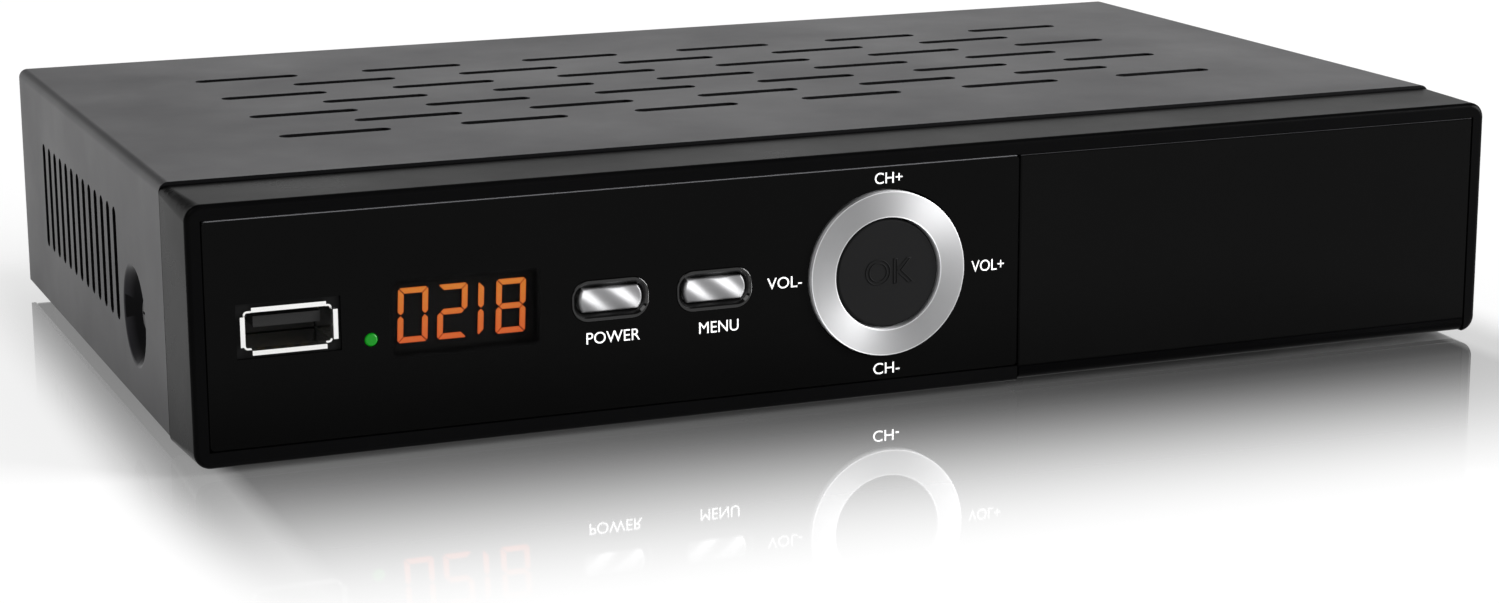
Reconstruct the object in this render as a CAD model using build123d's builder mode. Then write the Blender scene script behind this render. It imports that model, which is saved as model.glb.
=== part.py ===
from build123d import *
import math
import os

os.makedirs("parts", exist_ok=True)

# A small satellite television receiver: a steel case with a moulded front, a dark window, a
# flap door over a card bay, three push keys and a tilting four-way key ring.
# Millimetres. +X is the viewer's right, +Y runs to the rear, +Z is up. The origin is on the
# table, under the middle of the whole object.

# ---------------------------------------------------------------- case, driving sizes
case_width = 220.0
bezel_height = 39.2
bezel_depth = 16.6
bezel_wall = 2.0
bezel_front_corner = 2.6
bezel_rear_corner = 1.2
bezel_edge_round = 0.8
cover_depth = 116.2
cover_corner = 1.5
cover_step = 0.5
cover_rise = 1.2
seam_gap = 0.2
sheet = 0.8
ground_gap = 1.0
rear_lip = 8.0
fit = 0.15
pin_fit = 0.05

# ---------------------------------------------------------------- front, driving sizes
rim_side = 2.2
rim_top = 2.35
rim_bottom = 2.5
window_corner = 0.8
window_thick = 1.6
window_bevel = 0.2
web_thick = 1.6
flap_thick = 2.2
hinge_radius = 1.6
hinge_pin_radius = 0.6
hinge_pin_length = 1.2
hinge_lift = 0.1
bay_depth = 10.0
bay_wall = 1.4
card_width = 55.0
card_slot_height = 1.4
card_side_gap = 1.0
card_lead_in = 1.0
bevel_angle = 45.0
board_thick = 1.6
front_board_depth = 11.0
front_board_end_gap = 1.6
front_board_edge = 2.0
boss_radius = 2.6

# ---------------------------------------------------------------- the row along the front, from the left
port_inset = 14.6
port_to_lamp = 12.3
lamp_to_display = 14.55
display_to_power_key = 22.75
power_key_to_menu_key = 16.9
menu_key_to_ring = 28.9
ring_to_flap_edge = 23.1

# ---------------------------------------------------------------- keys, driving sizes
key_height = 19.8
ring_outer = 13.05
ring_inner = 8.95
ring_gap = 0.35
ring_proud = 0.8
ring_crown = 0.08
ring_back = 1.4
skirt_outer = 9.8
skirt_back = 4.4
post_circle = 11.6
post_radius = 1.3
post_gap = 0.45
pivot_depth = 3.6
pivot_inner = 5.2
pivot_outer = 7.4
pivot_thick = 2.0
sleeve_outer = 4.4
sleeve_front = 1.8
hub_radius = 15.5
hub_rim = 1.3
hub_plate = 1.4
hub_plate_depth = 5.2
stem_radius = 2.6
ok_radius = 8.6
ok_thick = 1.55
ok_proud = 0.35
switch_size = 6.0
switch_body = 3.5
switch_height = 7.0
switch_bore_depth = 1.7
plunger_radius = 1.75
plunger_sink = 0.9
cap_width = 10.1
cap_height = 3.65
cap_bulge = 0.6
cap_proud = 0.1
cap_crown = 0.3
cap_round = 0.4
cap_flange = 0.6
surround_width = 12.4
surround_height = 6.5
surround_corner = 2.7
surround_proud = 0.15
surround_bevel = 0.85
surround_mouth_corner = 2.2
surround_mouth_angle = 40.0

# ---------------------------------------------------------------- port, lamp and display
port_height = 20.1
port_width = 13.2
port_tall = 5.8
port_wall = 0.3
port_proud = 0.35
port_lip = 0.65
port_lip_face = 0.7
port_lip_wide = 11.1
port_lip_tall = 4.5
port_plate_width = 15.6
port_plate_height = 8.2
port_plate_sink = 0.5
tongue_width = 10.0
tongue_thick = 1.6
tongue_rise = 1.1
tongue_sink = 1.2
contact_pitch = 2.2
contact_width = 1.1
contact_thick = 0.2
contact_setback = 1.3
contacts = 4
lamp_height = 17.1
lamp_radius = 1.0
display_height = 19.85
display_width = 24.4
display_tall = 13.0
display_block = 7.1
display_leg = 0.6
display_leg_pitch = 3.5
display_leg_rows = 10.0
display_legs = 6
digit_width = 4.6
digit_tall = 8.3
bar_width = 0.85
bar_gap = 0.13
bar_corner = 0.35
digit_slant = 2.5
bar_thick = 0.2
digit_offsets = (-9.95, -3.85, 2.45, 5.25)
digit_text = "0218"
receiver_inset = 22.0
receiver_height = 30.5
receiver_width = 6.0
receiver_tall = 7.0
receiver_thick = 3.0
receiver_lens = 2.4

# ---------------------------------------------------------------- slots and dimples
slot_length = 18.3
slot_width = 2.8
slot_pitch = 30.0
row_pitch = 9.8
slot_rows = 7
first_row = 30.4
side_slot_height = 18.2
side_slot_width = 2.5
side_slot_pitch = 5.0
side_slots = 13
side_slot_first = 34.8
side_slot_level = 20.6
dimple_setback = 22.2
dimple_level = 14.8
dimple_radius = 8.0
dimple_floor = 4.2
dimple_depth = 3.0
screw_radius = 1.5
screw_head_radius = 2.8
screw_head = 1.3
screw_length = 4.0
screw_bit = 0.9
screw_cross = 3.6
top_slots = 6
bezel_screw_inset = 40.0
top_screw_left = 18.0
top_screw_right = 12.0
low_screw_left = 12.0
low_screw_right = 54.0

# ---------------------------------------------------------------- tray, feet and boards
flange_height = 10.0
tab_height = 5.6
tab_half = 6.0
foot_radius = 6.0
foot_stem_radius = 1.6
foot_inset = 22.0
foot_barb_angle = 15.0
floor_slots = 6
floor_slot_pitch = 6.0
standoff = 5.0
standoff_radius = 2.6
main_side_gap = 4.4
power_side_gap = 2.4
board_front_gap = 6.0
board_rear_gap = 1.2
power_board_width = 56.0
power_board_length = 88.0
board_gap = 6.0
board_hole_inset = 4.0
# insets of the sockets are measured from the near side of their own board
tuner_inset = 30.0
tuner_width = 42.0
tuner_length = 32.0
tuner_height = 14.0
tuner_wall = 0.6
tuner_hole = 1.5
coax_pitch = 20.0
coax_radius = 4.7
coax_bore = 3.6
coax_reach = 11.0
coax_nut_radius = 6.4
coax_nut = 2.4
av_inset = 64.0
av_width = 15.0
av_tall = 5.6
av_length = 11.5
av_wall = 0.5
jack_inset = 96.0
jack_pitch = 13.0
jack_height = 12.0
jack_block_length = 10.0
jack_ring_radius = 4.6
jack_sleeve_radius = 4.1
jack_bore = 1.6
jack_reach = 8.5
inlet_inset = 26.0
inlet_lobe_radius = 4.1
inlet_pin_pitch = 8.6
inlet_pin_radius = 1.2
inlet_body_width = 20.0
inlet_body_height = 12.0
inlet_depth = 14.0
inlet_wall = 1.6
inlet_flange = 2.0
inlet_waist = 6.6

# ---------------------------------------------------------------- places worked out
overall_depth = ring_proud + bezel_depth + cover_depth + coax_reach
front = ring_proud - overall_depth / 2
seam = front + bezel_depth
rear = seam + cover_depth
base = ground_gap
bezel_top = base + bezel_height
bezel_mid = base + bezel_height / 2
cover_bottom = base + cover_rise
cover_top = bezel_top + cover_step
left_side = -case_width / 2
right_side = case_width / 2
port_x = left_side + port_inset
lamp_x = port_x + port_to_lamp
display_x = lamp_x + lamp_to_display
power_key_x = display_x + display_to_power_key
menu_key_x = power_key_x + power_key_to_menu_key
ring_x = menu_key_x + menu_key_to_ring
flap_edge = ring_x + ring_to_flap_edge
receiver_x = left_side + receiver_inset
front_board_right = flap_edge - front_board_end_gap
window_left = rim_side - case_width / 2
window_right = case_width / 2 - rim_side
window_bottom = base + rim_bottom
window_top = bezel_top - rim_top
web_back = window_thick + web_thick
hinge_z = base + hinge_lift + hinge_radius
barrel_clear = 2 * hinge_radius + 2 * fit
key_z = base + key_height
tip_depth = front_board_depth - switch_height
board_top = base + bezel_height - bezel_wall - front_board_edge
board_bottom = base + bezel_wall + front_board_edge
boss_front = front_board_depth + board_thick + 2 * fit
tray_side = case_width / 2 - sheet - dimple_depth
tray_floor = cover_bottom + sheet
panel_outside = rear - sheet
panel_inside = panel_outside - sheet
dimple_y = seam + dimple_setback
dimple_z = base + dimple_level
board_under = tray_floor + standoff
board_over = board_under + board_thick
board_front = seam + board_front_gap
board_rear = panel_inside - board_rear_gap
power_board_front = board_rear - power_board_length
power_board_left = sheet - tray_side + power_side_gap
power_board_right = power_board_left + power_board_width
main_board_left = power_board_right + board_gap
main_board_right = tray_side - sheet - main_side_gap
tuner_x = main_board_right - tuner_inset
av_x = main_board_right - av_inset
jack_x = main_board_right - jack_inset
inlet_x = power_board_left + inlet_inset
push_keys = {"power": power_key_x, "menu": menu_key_x}
post_spots = [(post_circle, 0), (0, post_circle), (-post_circle, 0), (0, -post_circle)]
ring_spots = [(ring_x, key_z)] + [(ring_x + x, key_z + z) for x, z in post_spots]
switch_spots = [(x, key_z) for x in push_keys.values()] + ring_spots
front_bosses = [
    (x, z)
    for x in (window_left + 2 * boss_radius + bezel_wall, front_board_right - boss_radius)
    for z in (board_bottom + boss_radius, board_top - boss_radius)
]
bezel_screw_x = (left_side + bezel_screw_inset, 0.0, right_side - bezel_screw_inset)
bezel_screw_spots = [(x, cover_bottom + flange_height / 2) for x in bezel_screw_x]
top_screw_x = (left_side + top_screw_left, 0.0, right_side - top_screw_right)
top_screw_spots = [(x, cover_top - rear_lip / 2) for x in top_screw_x]
low_screw_x = (power_board_right - low_screw_left, main_board_right - low_screw_right)
low_screw_spots = [(x, cover_bottom + (sheet + tab_height) / 2) for x in low_screw_x]
feet_spots = [
    (x, y)
    for x in (foot_inset - case_width / 2, case_width / 2 - foot_inset)
    for y in (seam + foot_inset, rear - foot_inset)
]
main_holes = [
    (x, y)
    for x in (main_board_left + board_hole_inset, main_board_right - board_hole_inset)
    for y in (board_front + board_hole_inset, board_rear - board_hole_inset)
]
power_holes = [
    (x, y)
    for x in (power_board_left + board_hole_inset, power_board_right - board_hole_inset)
    for y in (power_board_front + board_hole_inset, board_rear - board_hole_inset)
]
board_middles = [
    (power_board_left + power_board_right) / 2, (main_board_left + main_board_right) / 2,
]
coax_spots = [tuner_x - coax_pitch / 2, tuner_x + coax_pitch / 2]
coax_z = board_over + tuner_height / 2
jack_spots = [jack_x - jack_pitch, jack_x, jack_x + jack_pitch]
jack_z = board_over + jack_height / 2
av_z = board_over + av_tall / 2
inlet_z = board_over + inlet_body_height / 2


def behind(depth):
    """Upright plane at a depth behind the front face: x is X, y is Z, extrude(-d) runs rearwards."""
    return Plane.XZ.offset(-(front + depth))


def upright(y):
    """Upright plane at a given Y, with the same directions as behind()."""
    return Plane.XZ.offset(-y)


def block(x0, x1, y0, y1, z0, z1, mode=Mode.ADD):
    """A rectangular block between six limits, in the part that is being built."""
    with Locations(((x0 + x1) / 2, (y0 + y1) / 2, (z0 + z1) / 2)):
        Box(x1 - x0, y1 - y0, z1 - z0, mode=mode)


def finish(piece, name):
    """Label a finished piece and write it to its own STEP file."""
    piece.part.label = name
    export_step(piece.part, f"parts/{name}.step")


def cap_outline(grow=0.0):
    """The outline of a push key: straight long sides and bulging ends, grown by a clearance."""
    half = cap_width / 2 - cap_bulge
    tall = cap_height / 2 + grow
    reach = cap_width / 2 + grow
    with BuildSketch() as outline:
        with BuildLine():
            Line((-half, tall), (half, tall))
            ThreePointArc((half, tall), (reach, 0), (half, -tall))
            Line((half, -tall), (-half, -tall))
            ThreePointArc((-half, -tall), (-reach, 0), (-half, tall))
        make_face()
    return outline.sketch


# ================================================================ moulded front
with BuildPart() as front_bezel:
    with BuildSketch(behind(0)):
        with Locations((0, bezel_mid)):
            RectangleRounded(case_width, bezel_height, bezel_front_corner)
    with BuildSketch(behind(bezel_depth)):
        with Locations((0, bezel_mid)):
            RectangleRounded(case_width, bezel_height, bezel_rear_corner)
    loft()
    fillet(front_bezel.faces().sort_by(Axis.Y)[0].edges(), bezel_edge_round)
    # hollow behind the web
    with BuildSketch(behind(web_back)):
        with Locations((0, bezel_mid)):
            Rectangle(case_width - 2 * bezel_wall, bezel_height - 2 * bezel_wall)
    extrude(amount=web_back - bezel_depth, mode=Mode.SUBTRACT)
    # recess for the window, and the bay behind the flap
    block(window_left, flap_edge, front, front + window_thick, window_bottom, window_top, Mode.SUBTRACT)
    block(flap_edge, window_right, front, front + web_back, window_bottom, window_top, Mode.SUBTRACT)
    block(flap_edge, window_right, front, front + barrel_clear, base, window_top, Mode.SUBTRACT)
    # holes in the web
    with BuildSketch(behind(window_thick)):
        with Locations((ring_x, key_z)):
            Circle(ring_outer + ring_gap)
        with Locations(*[(x, key_z) for x in push_keys.values()]):
            RectangleRounded(surround_width, surround_height, surround_corner)
        with Locations((port_x, base + port_height)):
            Rectangle(port_plate_width, port_plate_height)
        with Locations((lamp_x, base + lamp_height)):
            Circle(lamp_radius + fit)
        with Locations((display_x, base + display_height)):
            Rectangle(display_width + 2 * fit, display_tall + 2 * fit)
    extrude(amount=-web_thick, mode=Mode.SUBTRACT)
    # bosses for the front board, and for the screws through the tray's upstand
    with BuildSketch(behind(web_back)):
        with Locations(*front_bosses):
            Circle(boss_radius)
            Circle(screw_radius + pin_fit, mode=Mode.SUBTRACT)
    extrude(amount=web_back - front_board_depth)
    with BuildSketch(behind(boss_front)):
        with Locations(*bezel_screw_spots):
            Rectangle(3 * boss_radius, flange_height)
            Circle(screw_radius + pin_fit, mode=Mode.SUBTRACT)
    extrude(amount=boss_front - bezel_depth)
    # bores for the flap's stub pins
    with BuildSketch(Plane.YZ.offset(flap_edge)):
        with Locations((front + hinge_radius, hinge_z)):
            Circle(hinge_pin_radius + pin_fit)
    extrude(amount=-(hinge_pin_length + fit), mode=Mode.SUBTRACT)
    with BuildSketch(Plane.YZ.offset(window_right)):
        with Locations((front + hinge_radius, hinge_z)):
            Circle(hinge_pin_radius + pin_fit)
    extrude(amount=hinge_pin_length + fit, mode=Mode.SUBTRACT)
finish(front_bezel, "front_bezel")

with BuildPart() as front_window:
    with BuildSketch(behind(0)):
        with Locations(((window_left + flap_edge) / 2, (window_bottom + window_top) / 2)):
            RectangleRounded(
                flap_edge - window_left - fit, window_top - window_bottom - fit, window_corner
            )
    extrude(amount=-window_thick)
    chamfer(front_window.faces().sort_by(Axis.Y)[0].edges(), window_bevel)
    with BuildSketch(behind(0)):
        with Locations((ring_x, key_z)):
            Circle(ring_outer + ring_gap)
        with Locations(*[(x, key_z) for x in push_keys.values()]):
            RectangleRounded(surround_width, surround_height, surround_corner)
        with Locations((port_x, base + port_height)):
            Rectangle(port_plate_width, port_plate_height)
        with Locations((lamp_x, base + lamp_height)):
            Circle(lamp_radius + pin_fit)
    extrude(amount=-window_thick, mode=Mode.SUBTRACT)
finish(front_window, "front_window")

# ================================================================ flap door and card bay
with BuildPart() as flap_door:
    flap_left = flap_edge + fit
    flap_right = window_right - fit
    flap_top = window_top - fit
    with BuildSketch(Plane.YZ.offset(flap_left)):
        with Locations((front + hinge_radius, hinge_z)):
            Circle(hinge_radius)
        with Locations((front + flap_thick / 2, (hinge_z + flap_top) / 2)):
            Rectangle(flap_thick, flap_top - hinge_z)
    extrude(amount=flap_right - flap_left)
    outside = flap_door.faces().filter_by(Axis.Y).sort_by(Axis.Y)[0]
    chamfer(outside.edges().sort_by(Axis.Z)[1:], window_bevel)
    # the moulded line that carries the window's lower edge across the door
    block(flap_left, flap_right, front, front + fit, window_bottom - fit, window_bottom + fit, Mode.SUBTRACT)
    with BuildSketch(Plane.YZ.offset(flap_left)):
        with Locations((front + hinge_radius, hinge_z)):
            Circle(hinge_pin_radius)
    extrude(amount=-hinge_pin_length)
    with BuildSketch(Plane.YZ.offset(flap_right)):
        with Locations((front + hinge_radius, hinge_z)):
            Circle(hinge_pin_radius)
    extrude(amount=hinge_pin_length)
finish(flap_door, "flap_door")

bay_left = flap_edge + 2 * fit
bay_right = case_width / 2 - bezel_wall - fit
bay_bottom = base + bezel_wall
bay_top = bezel_top - bezel_wall
bay_front = front + barrel_clear
card_x = (bay_left + bay_right) / 2
card_z = key_z

with BuildPart() as bay_frame:
    block(bay_left, bay_right, bay_front, front + bay_depth, bay_bottom, bay_top)
    block(
        bay_left + bay_wall, bay_right - bay_wall, bay_front, front + bay_depth - bay_wall,
        bay_bottom + bay_wall, bay_top - bay_wall, Mode.SUBTRACT,
    )
    with BuildSketch(behind(bay_depth - bay_wall)):
        with Locations((card_x, card_z)):
            RectangleRounded(card_width + 2 * card_side_gap, card_slot_height, card_slot_height / 3)
    extrude(amount=-bay_wall, mode=Mode.SUBTRACT)
    # flared lead-in of the card slot
    with BuildSketch(behind(bay_depth - bay_wall)):
        with Locations((card_x, card_z)):
            Rectangle(
                card_width + 2 * (card_side_gap + card_lead_in), card_slot_height + 2 * card_lead_in
            )
    extrude(amount=-bay_wall / 2, taper=bevel_angle, mode=Mode.SUBTRACT)
finish(bay_frame, "bay_frame")

# ================================================================ keys
with BuildPart() as key_hub:
    with BuildSketch(behind(web_back)):
        with Locations((ring_x, key_z)):
            Circle(hub_radius)
            Circle(hub_radius - hub_rim, mode=Mode.SUBTRACT)
    extrude(amount=web_back - hub_plate_depth)
    with BuildSketch(behind(hub_plate_depth)):
        with Locations((ring_x, key_z)):
            Circle(hub_radius)
        with Locations(*ring_spots):
            Circle(plunger_radius + 2 * fit, mode=Mode.SUBTRACT)
    extrude(amount=-hub_plate)
    with BuildSketch(behind(sleeve_front)):
        with Locations((ring_x, key_z)):
            Circle(sleeve_outer)
            Circle(stem_radius + fit, mode=Mode.SUBTRACT)
    extrude(amount=sleeve_front - hub_plate_depth)
    with BuildSketch(Plane.YZ.offset(ring_x - sleeve_outer)):
        with Locations((front + pivot_depth, key_z)):
            Circle(hinge_pin_radius + pin_fit)
    extrude(amount=2 * sleeve_outer, mode=Mode.SUBTRACT)
finish(key_hub, "key_hub")

with BuildPart() as nav_pivot:
    with BuildSketch(behind(pivot_depth - pivot_thick / 2)):
        with Locations((ring_x, key_z)):
            Circle(pivot_outer)
            Circle(pivot_inner, mode=Mode.SUBTRACT)
    extrude(amount=-pivot_thick)
    # bores for the ring's pins, above and below
    with BuildSketch(Plane.XY.offset(key_z - pivot_outer)):
        with Locations((ring_x, front + pivot_depth)):
            Circle(hinge_pin_radius + pin_fit)
    extrude(amount=2 * pivot_outer, mode=Mode.SUBTRACT)
    # its own pins, left and right, into the hub's sleeve
    pivot_pin = (pivot_inner + pivot_outer) / 2 - stem_radius - 4 * fit
    for side in (-1, 1):
        with BuildSketch(Plane.YZ.offset(ring_x + side * (stem_radius + 4 * fit))):
            with Locations((front + pivot_depth, key_z)):
                Circle(hinge_pin_radius)
        extrude(amount=side * pivot_pin)
finish(nav_pivot, "nav_pivot")

with BuildPart() as nav_ring:
    with BuildSketch(Plane.YZ.offset(ring_x)):
        with BuildLine():
            crown = front - ring_proud
            edge = crown + ring_crown
            Polyline(
                (edge, key_z + ring_inner), (front + skirt_back, key_z + ring_inner),
                (front + skirt_back, key_z + skirt_outer), (front + ring_back, key_z + skirt_outer),
                (front + ring_back, key_z + ring_outer), (edge, key_z + ring_outer),
            )
            ThreePointArc(
                (edge, key_z + ring_outer), (crown, key_z + (ring_inner + ring_outer) / 2),
                (edge, key_z + ring_inner),
            )
        make_face()
    revolve(axis=Axis((ring_x, 0, key_z), (0, 1, 0)))
    with BuildSketch(behind(ring_back)):
        with Locations((ring_x, key_z)):
            with Locations(*post_spots):
                Circle(post_radius)
    extrude(amount=ring_back + post_gap - tip_depth)
    # pins, above and below, into the pivot ring
    for side in (-1, 1):
        with BuildSketch(Plane.XY.offset(key_z + side * (pivot_inner + 2 * fit))):
            with Locations((ring_x, front + pivot_depth)):
                Circle(hinge_pin_radius)
        extrude(amount=side * (ring_inner - pivot_inner))
finish(nav_ring, "nav_ring")

with BuildPart() as ok_button:
    with BuildSketch(behind(-ok_proud)):
        with Locations((ring_x, key_z)):
            Circle(ok_radius)
    extrude(amount=-ok_thick)
    fillet(ok_button.faces().sort_by(Axis.Y)[0].edges(), cap_round)
    with BuildSketch(behind(ok_thick - ok_proud)):
        with Locations((ring_x, key_z)):
            Circle(stem_radius)
    extrude(amount=ok_thick - ok_proud - tip_depth)
finish(ok_button, "ok_button")

with BuildPart() as button_surrounds:
    for key_x in push_keys.values():
        with BuildSketch(behind(-surround_proud)):
            with Locations((key_x, key_z)):
                RectangleRounded(
                    surround_width - 2 * pin_fit, surround_height - 2 * pin_fit, surround_corner
                )
        extrude(amount=-(surround_proud + web_back))
    fillet(button_surrounds.faces().sort_by(Axis.Y)[:2].edges(), surround_proud)
    # the dished mouth, then the straight hole that guides the key
    for key_x in push_keys.values():
        with BuildSketch(behind(-surround_proud)):
            with Locations((key_x, key_z)):
                RectangleRounded(
                    cap_width + 2 * surround_bevel, cap_height + 2 * surround_bevel,
                    surround_mouth_corner,
                )
        extrude(amount=-surround_bevel, taper=surround_mouth_angle, mode=Mode.SUBTRACT)
        with BuildSketch(behind(-surround_proud)):
            with Locations((key_x, key_z)):
                add(cap_outline(fit))
        extrude(amount=-(surround_proud + web_back), mode=Mode.SUBTRACT)
finish(button_surrounds, "button_surrounds")

for key_name, key_x in push_keys.items():
    with BuildPart() as push_button:
        with BuildSketch(behind(-cap_proud)):
            with Locations((key_x, key_z)):
                add(cap_outline())
        extrude(amount=-(cap_proud + web_back))
        # the face is barrelled between its long edges
        with BuildSketch(Plane.YZ.offset(key_x - cap_width)):
            with BuildLine():
                tip, shoulder = front - cap_proud, front - cap_proud + cap_crown
                ThreePointArc(
                    (shoulder, key_z - cap_height / 2), (tip, key_z), (shoulder, key_z + cap_height / 2)
                )
                Polyline(
                    (shoulder, key_z + cap_height / 2), (tip - cap_crown, key_z + cap_height / 2),
                    (tip - cap_crown, key_z - cap_height / 2), (shoulder, key_z - cap_height / 2),
                )
            make_face()
        extrude(amount=2 * cap_width, mode=Mode.SUBTRACT)
        fillet(push_button.faces().sort_by(Axis.Y)[0].edges(), cap_round)
        with BuildSketch(behind(web_back)):
            with Locations((key_x, key_z)):
                Rectangle(cap_width + 2 * cap_flange, cap_height + 2 * cap_flange)
        extrude(amount=web_back - tip_depth)
    finish(push_button, f"{key_name}_button")

plunger_end = front_board_depth - switch_body + plunger_sink
for key_name, key_x in {**push_keys, "ok": ring_x}.items():
    with BuildPart() as plunger:
        with BuildSketch(behind(tip_depth)):
            with Locations((key_x, key_z)):
                Circle(plunger_radius)
        extrude(amount=tip_depth - plunger_end)
    finish(plunger, f"{key_name}_plunger")

with BuildPart() as tact_switches:
    switch_front = front_board_depth - switch_body
    with BuildSketch(behind(switch_front)):
        with Locations(*switch_spots):
            Rectangle(switch_size, switch_size)
    extrude(amount=-switch_body)
    with BuildSketch(behind(switch_front)):
        with Locations(*switch_spots[:3]):
            Circle(plunger_radius + fit)
    extrude(amount=-switch_bore_depth, mode=Mode.SUBTRACT)
    with BuildSketch(behind(tip_depth)):
        with Locations(*switch_spots[3:]):
            Circle(plunger_radius)
    extrude(amount=tip_depth - switch_front)
finish(tact_switches, "tact_switches")

# ================================================================ front board and what it carries
with BuildPart() as front_board:
    block(
        window_left + bezel_wall, front_board_right, front + front_board_depth,
        front + front_board_depth + board_thick, board_bottom, board_top,
    )
    with BuildSketch(behind(front_board_depth)):
        with Locations(*front_bosses):
            Circle(screw_radius + fit)
    extrude(amount=-board_thick, mode=Mode.SUBTRACT)
finish(front_board, "front_board")

with BuildPart() as port_surround:
    with BuildSketch(behind(port_plate_sink)):
        with Locations((port_x, base + port_height)):
            Rectangle(port_plate_width, port_plate_height)
            Rectangle(port_width + pin_fit, port_tall + pin_fit, mode=Mode.SUBTRACT)
    extrude(amount=port_plate_sink - web_back)
finish(port_surround, "port_surround")

with BuildPart() as data_port_shell:
    with BuildSketch(behind(port_plate_sink)):
        with Locations((port_x, base + port_height)):
            RectangleRounded(port_width, port_tall, 2 * port_wall)
            RectangleRounded(
                port_width - 2 * port_wall, port_tall - 2 * port_wall, port_wall, mode=Mode.SUBTRACT
            )
    extrude(amount=port_plate_sink - front_board_depth)
    # four flared lips round the mouth
    for side in (-1, 1):
        lip_z = base + port_height + side * port_tall / 2
        with BuildSketch(Plane.YZ.offset(port_x)):
            with BuildLine():
                Polyline(
                    (front + port_plate_sink, lip_z), (front - port_proud, lip_z + side * port_lip),
                    (front - port_proud, lip_z + side * (port_lip - port_lip_face)),
                    (front + port_plate_sink, lip_z - side * port_wall), close=True,
                )
            make_face()
        extrude(amount=port_lip_wide / 2, both=True)
        lip_x = port_x + side * port_width / 2
        with BuildSketch(Plane.XY.offset(base + port_height)):
            with BuildLine():
                Polyline(
                    (lip_x, front + port_plate_sink), (lip_x + side * port_lip, front - port_proud),
                    (lip_x + side * (port_lip - port_lip_face), front - port_proud),
                    (lip_x - side * port_wall, front + port_plate_sink), close=True,
                )
            make_face()
        extrude(amount=port_lip_tall / 2, both=True)
finish(data_port_shell, "data_port_shell")

tongue_z = base + port_height + tongue_rise
with BuildPart() as data_port_tongue:
    block(
        port_x - tongue_width / 2, port_x + tongue_width / 2, front + tongue_sink,
        front + front_board_depth, tongue_z - tongue_thick / 2, tongue_z + tongue_thick / 2,
    )
    with BuildSketch(behind(front_board_depth - board_thick)):
        with Locations((port_x, base + port_height)):
            Rectangle(port_width - 3 * port_wall, port_tall - 3 * port_wall)
    extrude(amount=-board_thick)
finish(data_port_tongue, "data_port_tongue")

with BuildPart() as data_port_contacts:
    for index in range(contacts):
        contact_x = port_x + (index - (contacts - 1) / 2) * contact_pitch
        block(
            contact_x - contact_width / 2, contact_x + contact_width / 2,
            front + tongue_sink + contact_setback,
            front + front_board_depth - board_thick, tongue_z - tongue_thick / 2 - contact_thick,
            tongue_z - tongue_thick / 2,
        )
finish(data_port_contacts, "data_port_contacts")

with BuildPart() as status_led:
    block(
        lamp_x - lamp_radius, lamp_x + lamp_radius, front + front_board_depth - lamp_radius,
        front + front_board_depth, base + lamp_height - lamp_radius, base + lamp_height + lamp_radius,
    )
finish(status_led, "status_led")

with BuildPart() as led_light_pipe:
    with BuildSketch(behind(0)):
        with Locations((lamp_x, base + lamp_height)):
            Circle(lamp_radius)
    extrude(amount=lamp_radius - front_board_depth)
    fillet(led_light_pipe.faces().sort_by(Axis.Y)[0].edges(), lamp_radius / 3)
finish(led_light_pipe, "led_light_pipe")

display_front = window_thick + bar_thick + fit
with BuildPart() as display_module:
    with BuildSketch(behind(display_front)):
        with Locations((display_x, base + display_height)):
            Rectangle(display_width, display_tall)
    extrude(amount=-display_block)
    # two rows of legs down to the board
    with BuildSketch(behind(display_front + display_block)):
        with Locations((display_x, base + display_height)):
            with GridLocations(display_leg_pitch, display_leg_rows, display_legs, 2):
                Rectangle(display_leg, display_leg)
    extrude(amount=display_front + display_block - front_board_depth)
finish(display_module, "display_module")

# the seven bars of a digit, mitred at the corners; each is a list of corners counted from the
# digit's middle, in half widths and half heights, and then in bar widths and gaps
digit_shapes = {
    "0": "abcdef", "1": "ef", "2": "abged", "3": "abgcd", "4": "fgbc",
    "5": "afgcd", "6": "afgedc", "7": "abc", "8": "abcdefg", "9": "abfgcd",
}


def bar_corners(letter):
    """The corners of one bar, measured from the middle of its digit."""
    across, up = digit_width / 2, digit_tall / 2
    mitre = bar_gap * math.sqrt(2) / 2
    cut = (bar_corner - mitre) / 2
    if letter == "g":
        tip = across - bar_width / 2 - mitre
        return [
            (tip, 0), (tip - bar_width / 2, bar_width / 2), (bar_width / 2 - tip, bar_width / 2),
            (-tip, 0), (bar_width / 2 - tip, -bar_width / 2), (tip - bar_width / 2, -bar_width / 2),
        ]
    if letter in "ad":
        flip = 1 if letter == "a" else -1
        inner = across - bar_width - mitre
        end = across - mitre - cut
        return [
            (across - bar_corner, flip * up), (bar_corner - across, flip * up), (-end, flip * (up - cut)),
            (-inner, flip * (up - bar_width)), (inner, flip * (up - bar_width)), (end, flip * (up - cut)),
        ]
    flip_x = 1 if letter in "bc" else -1
    flip_z = 1 if letter in "bf" else -1
    foot = bar_width / 2 + mitre
    return [
        (flip_x * x, flip_z * z) for x, z in (
            (across, up - bar_corner), (across - cut, up - mitre - cut),
            (across - bar_width, up - bar_width - mitre), (across - bar_width, foot),
            (across - bar_width / 2, mitre), (across, foot),
        )
    ]


with BuildPart() as display_digits:
    lean = math.tan(math.radians(digit_slant))
    with BuildSketch(behind(display_front - bar_thick)):
        for digit, offset in zip(digit_text, digit_offsets):
            middle = (display_x + offset + digit_width / 2, base + display_height)
            with Locations(middle):
                for letter in digit_shapes[digit]:
                    corners = [(x + lean * z, z) for x, z in bar_corners(letter)]
                    Polygon(*corners, align=None)
    extrude(amount=-bar_thick)
finish(display_digits, "display_digits")

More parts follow.
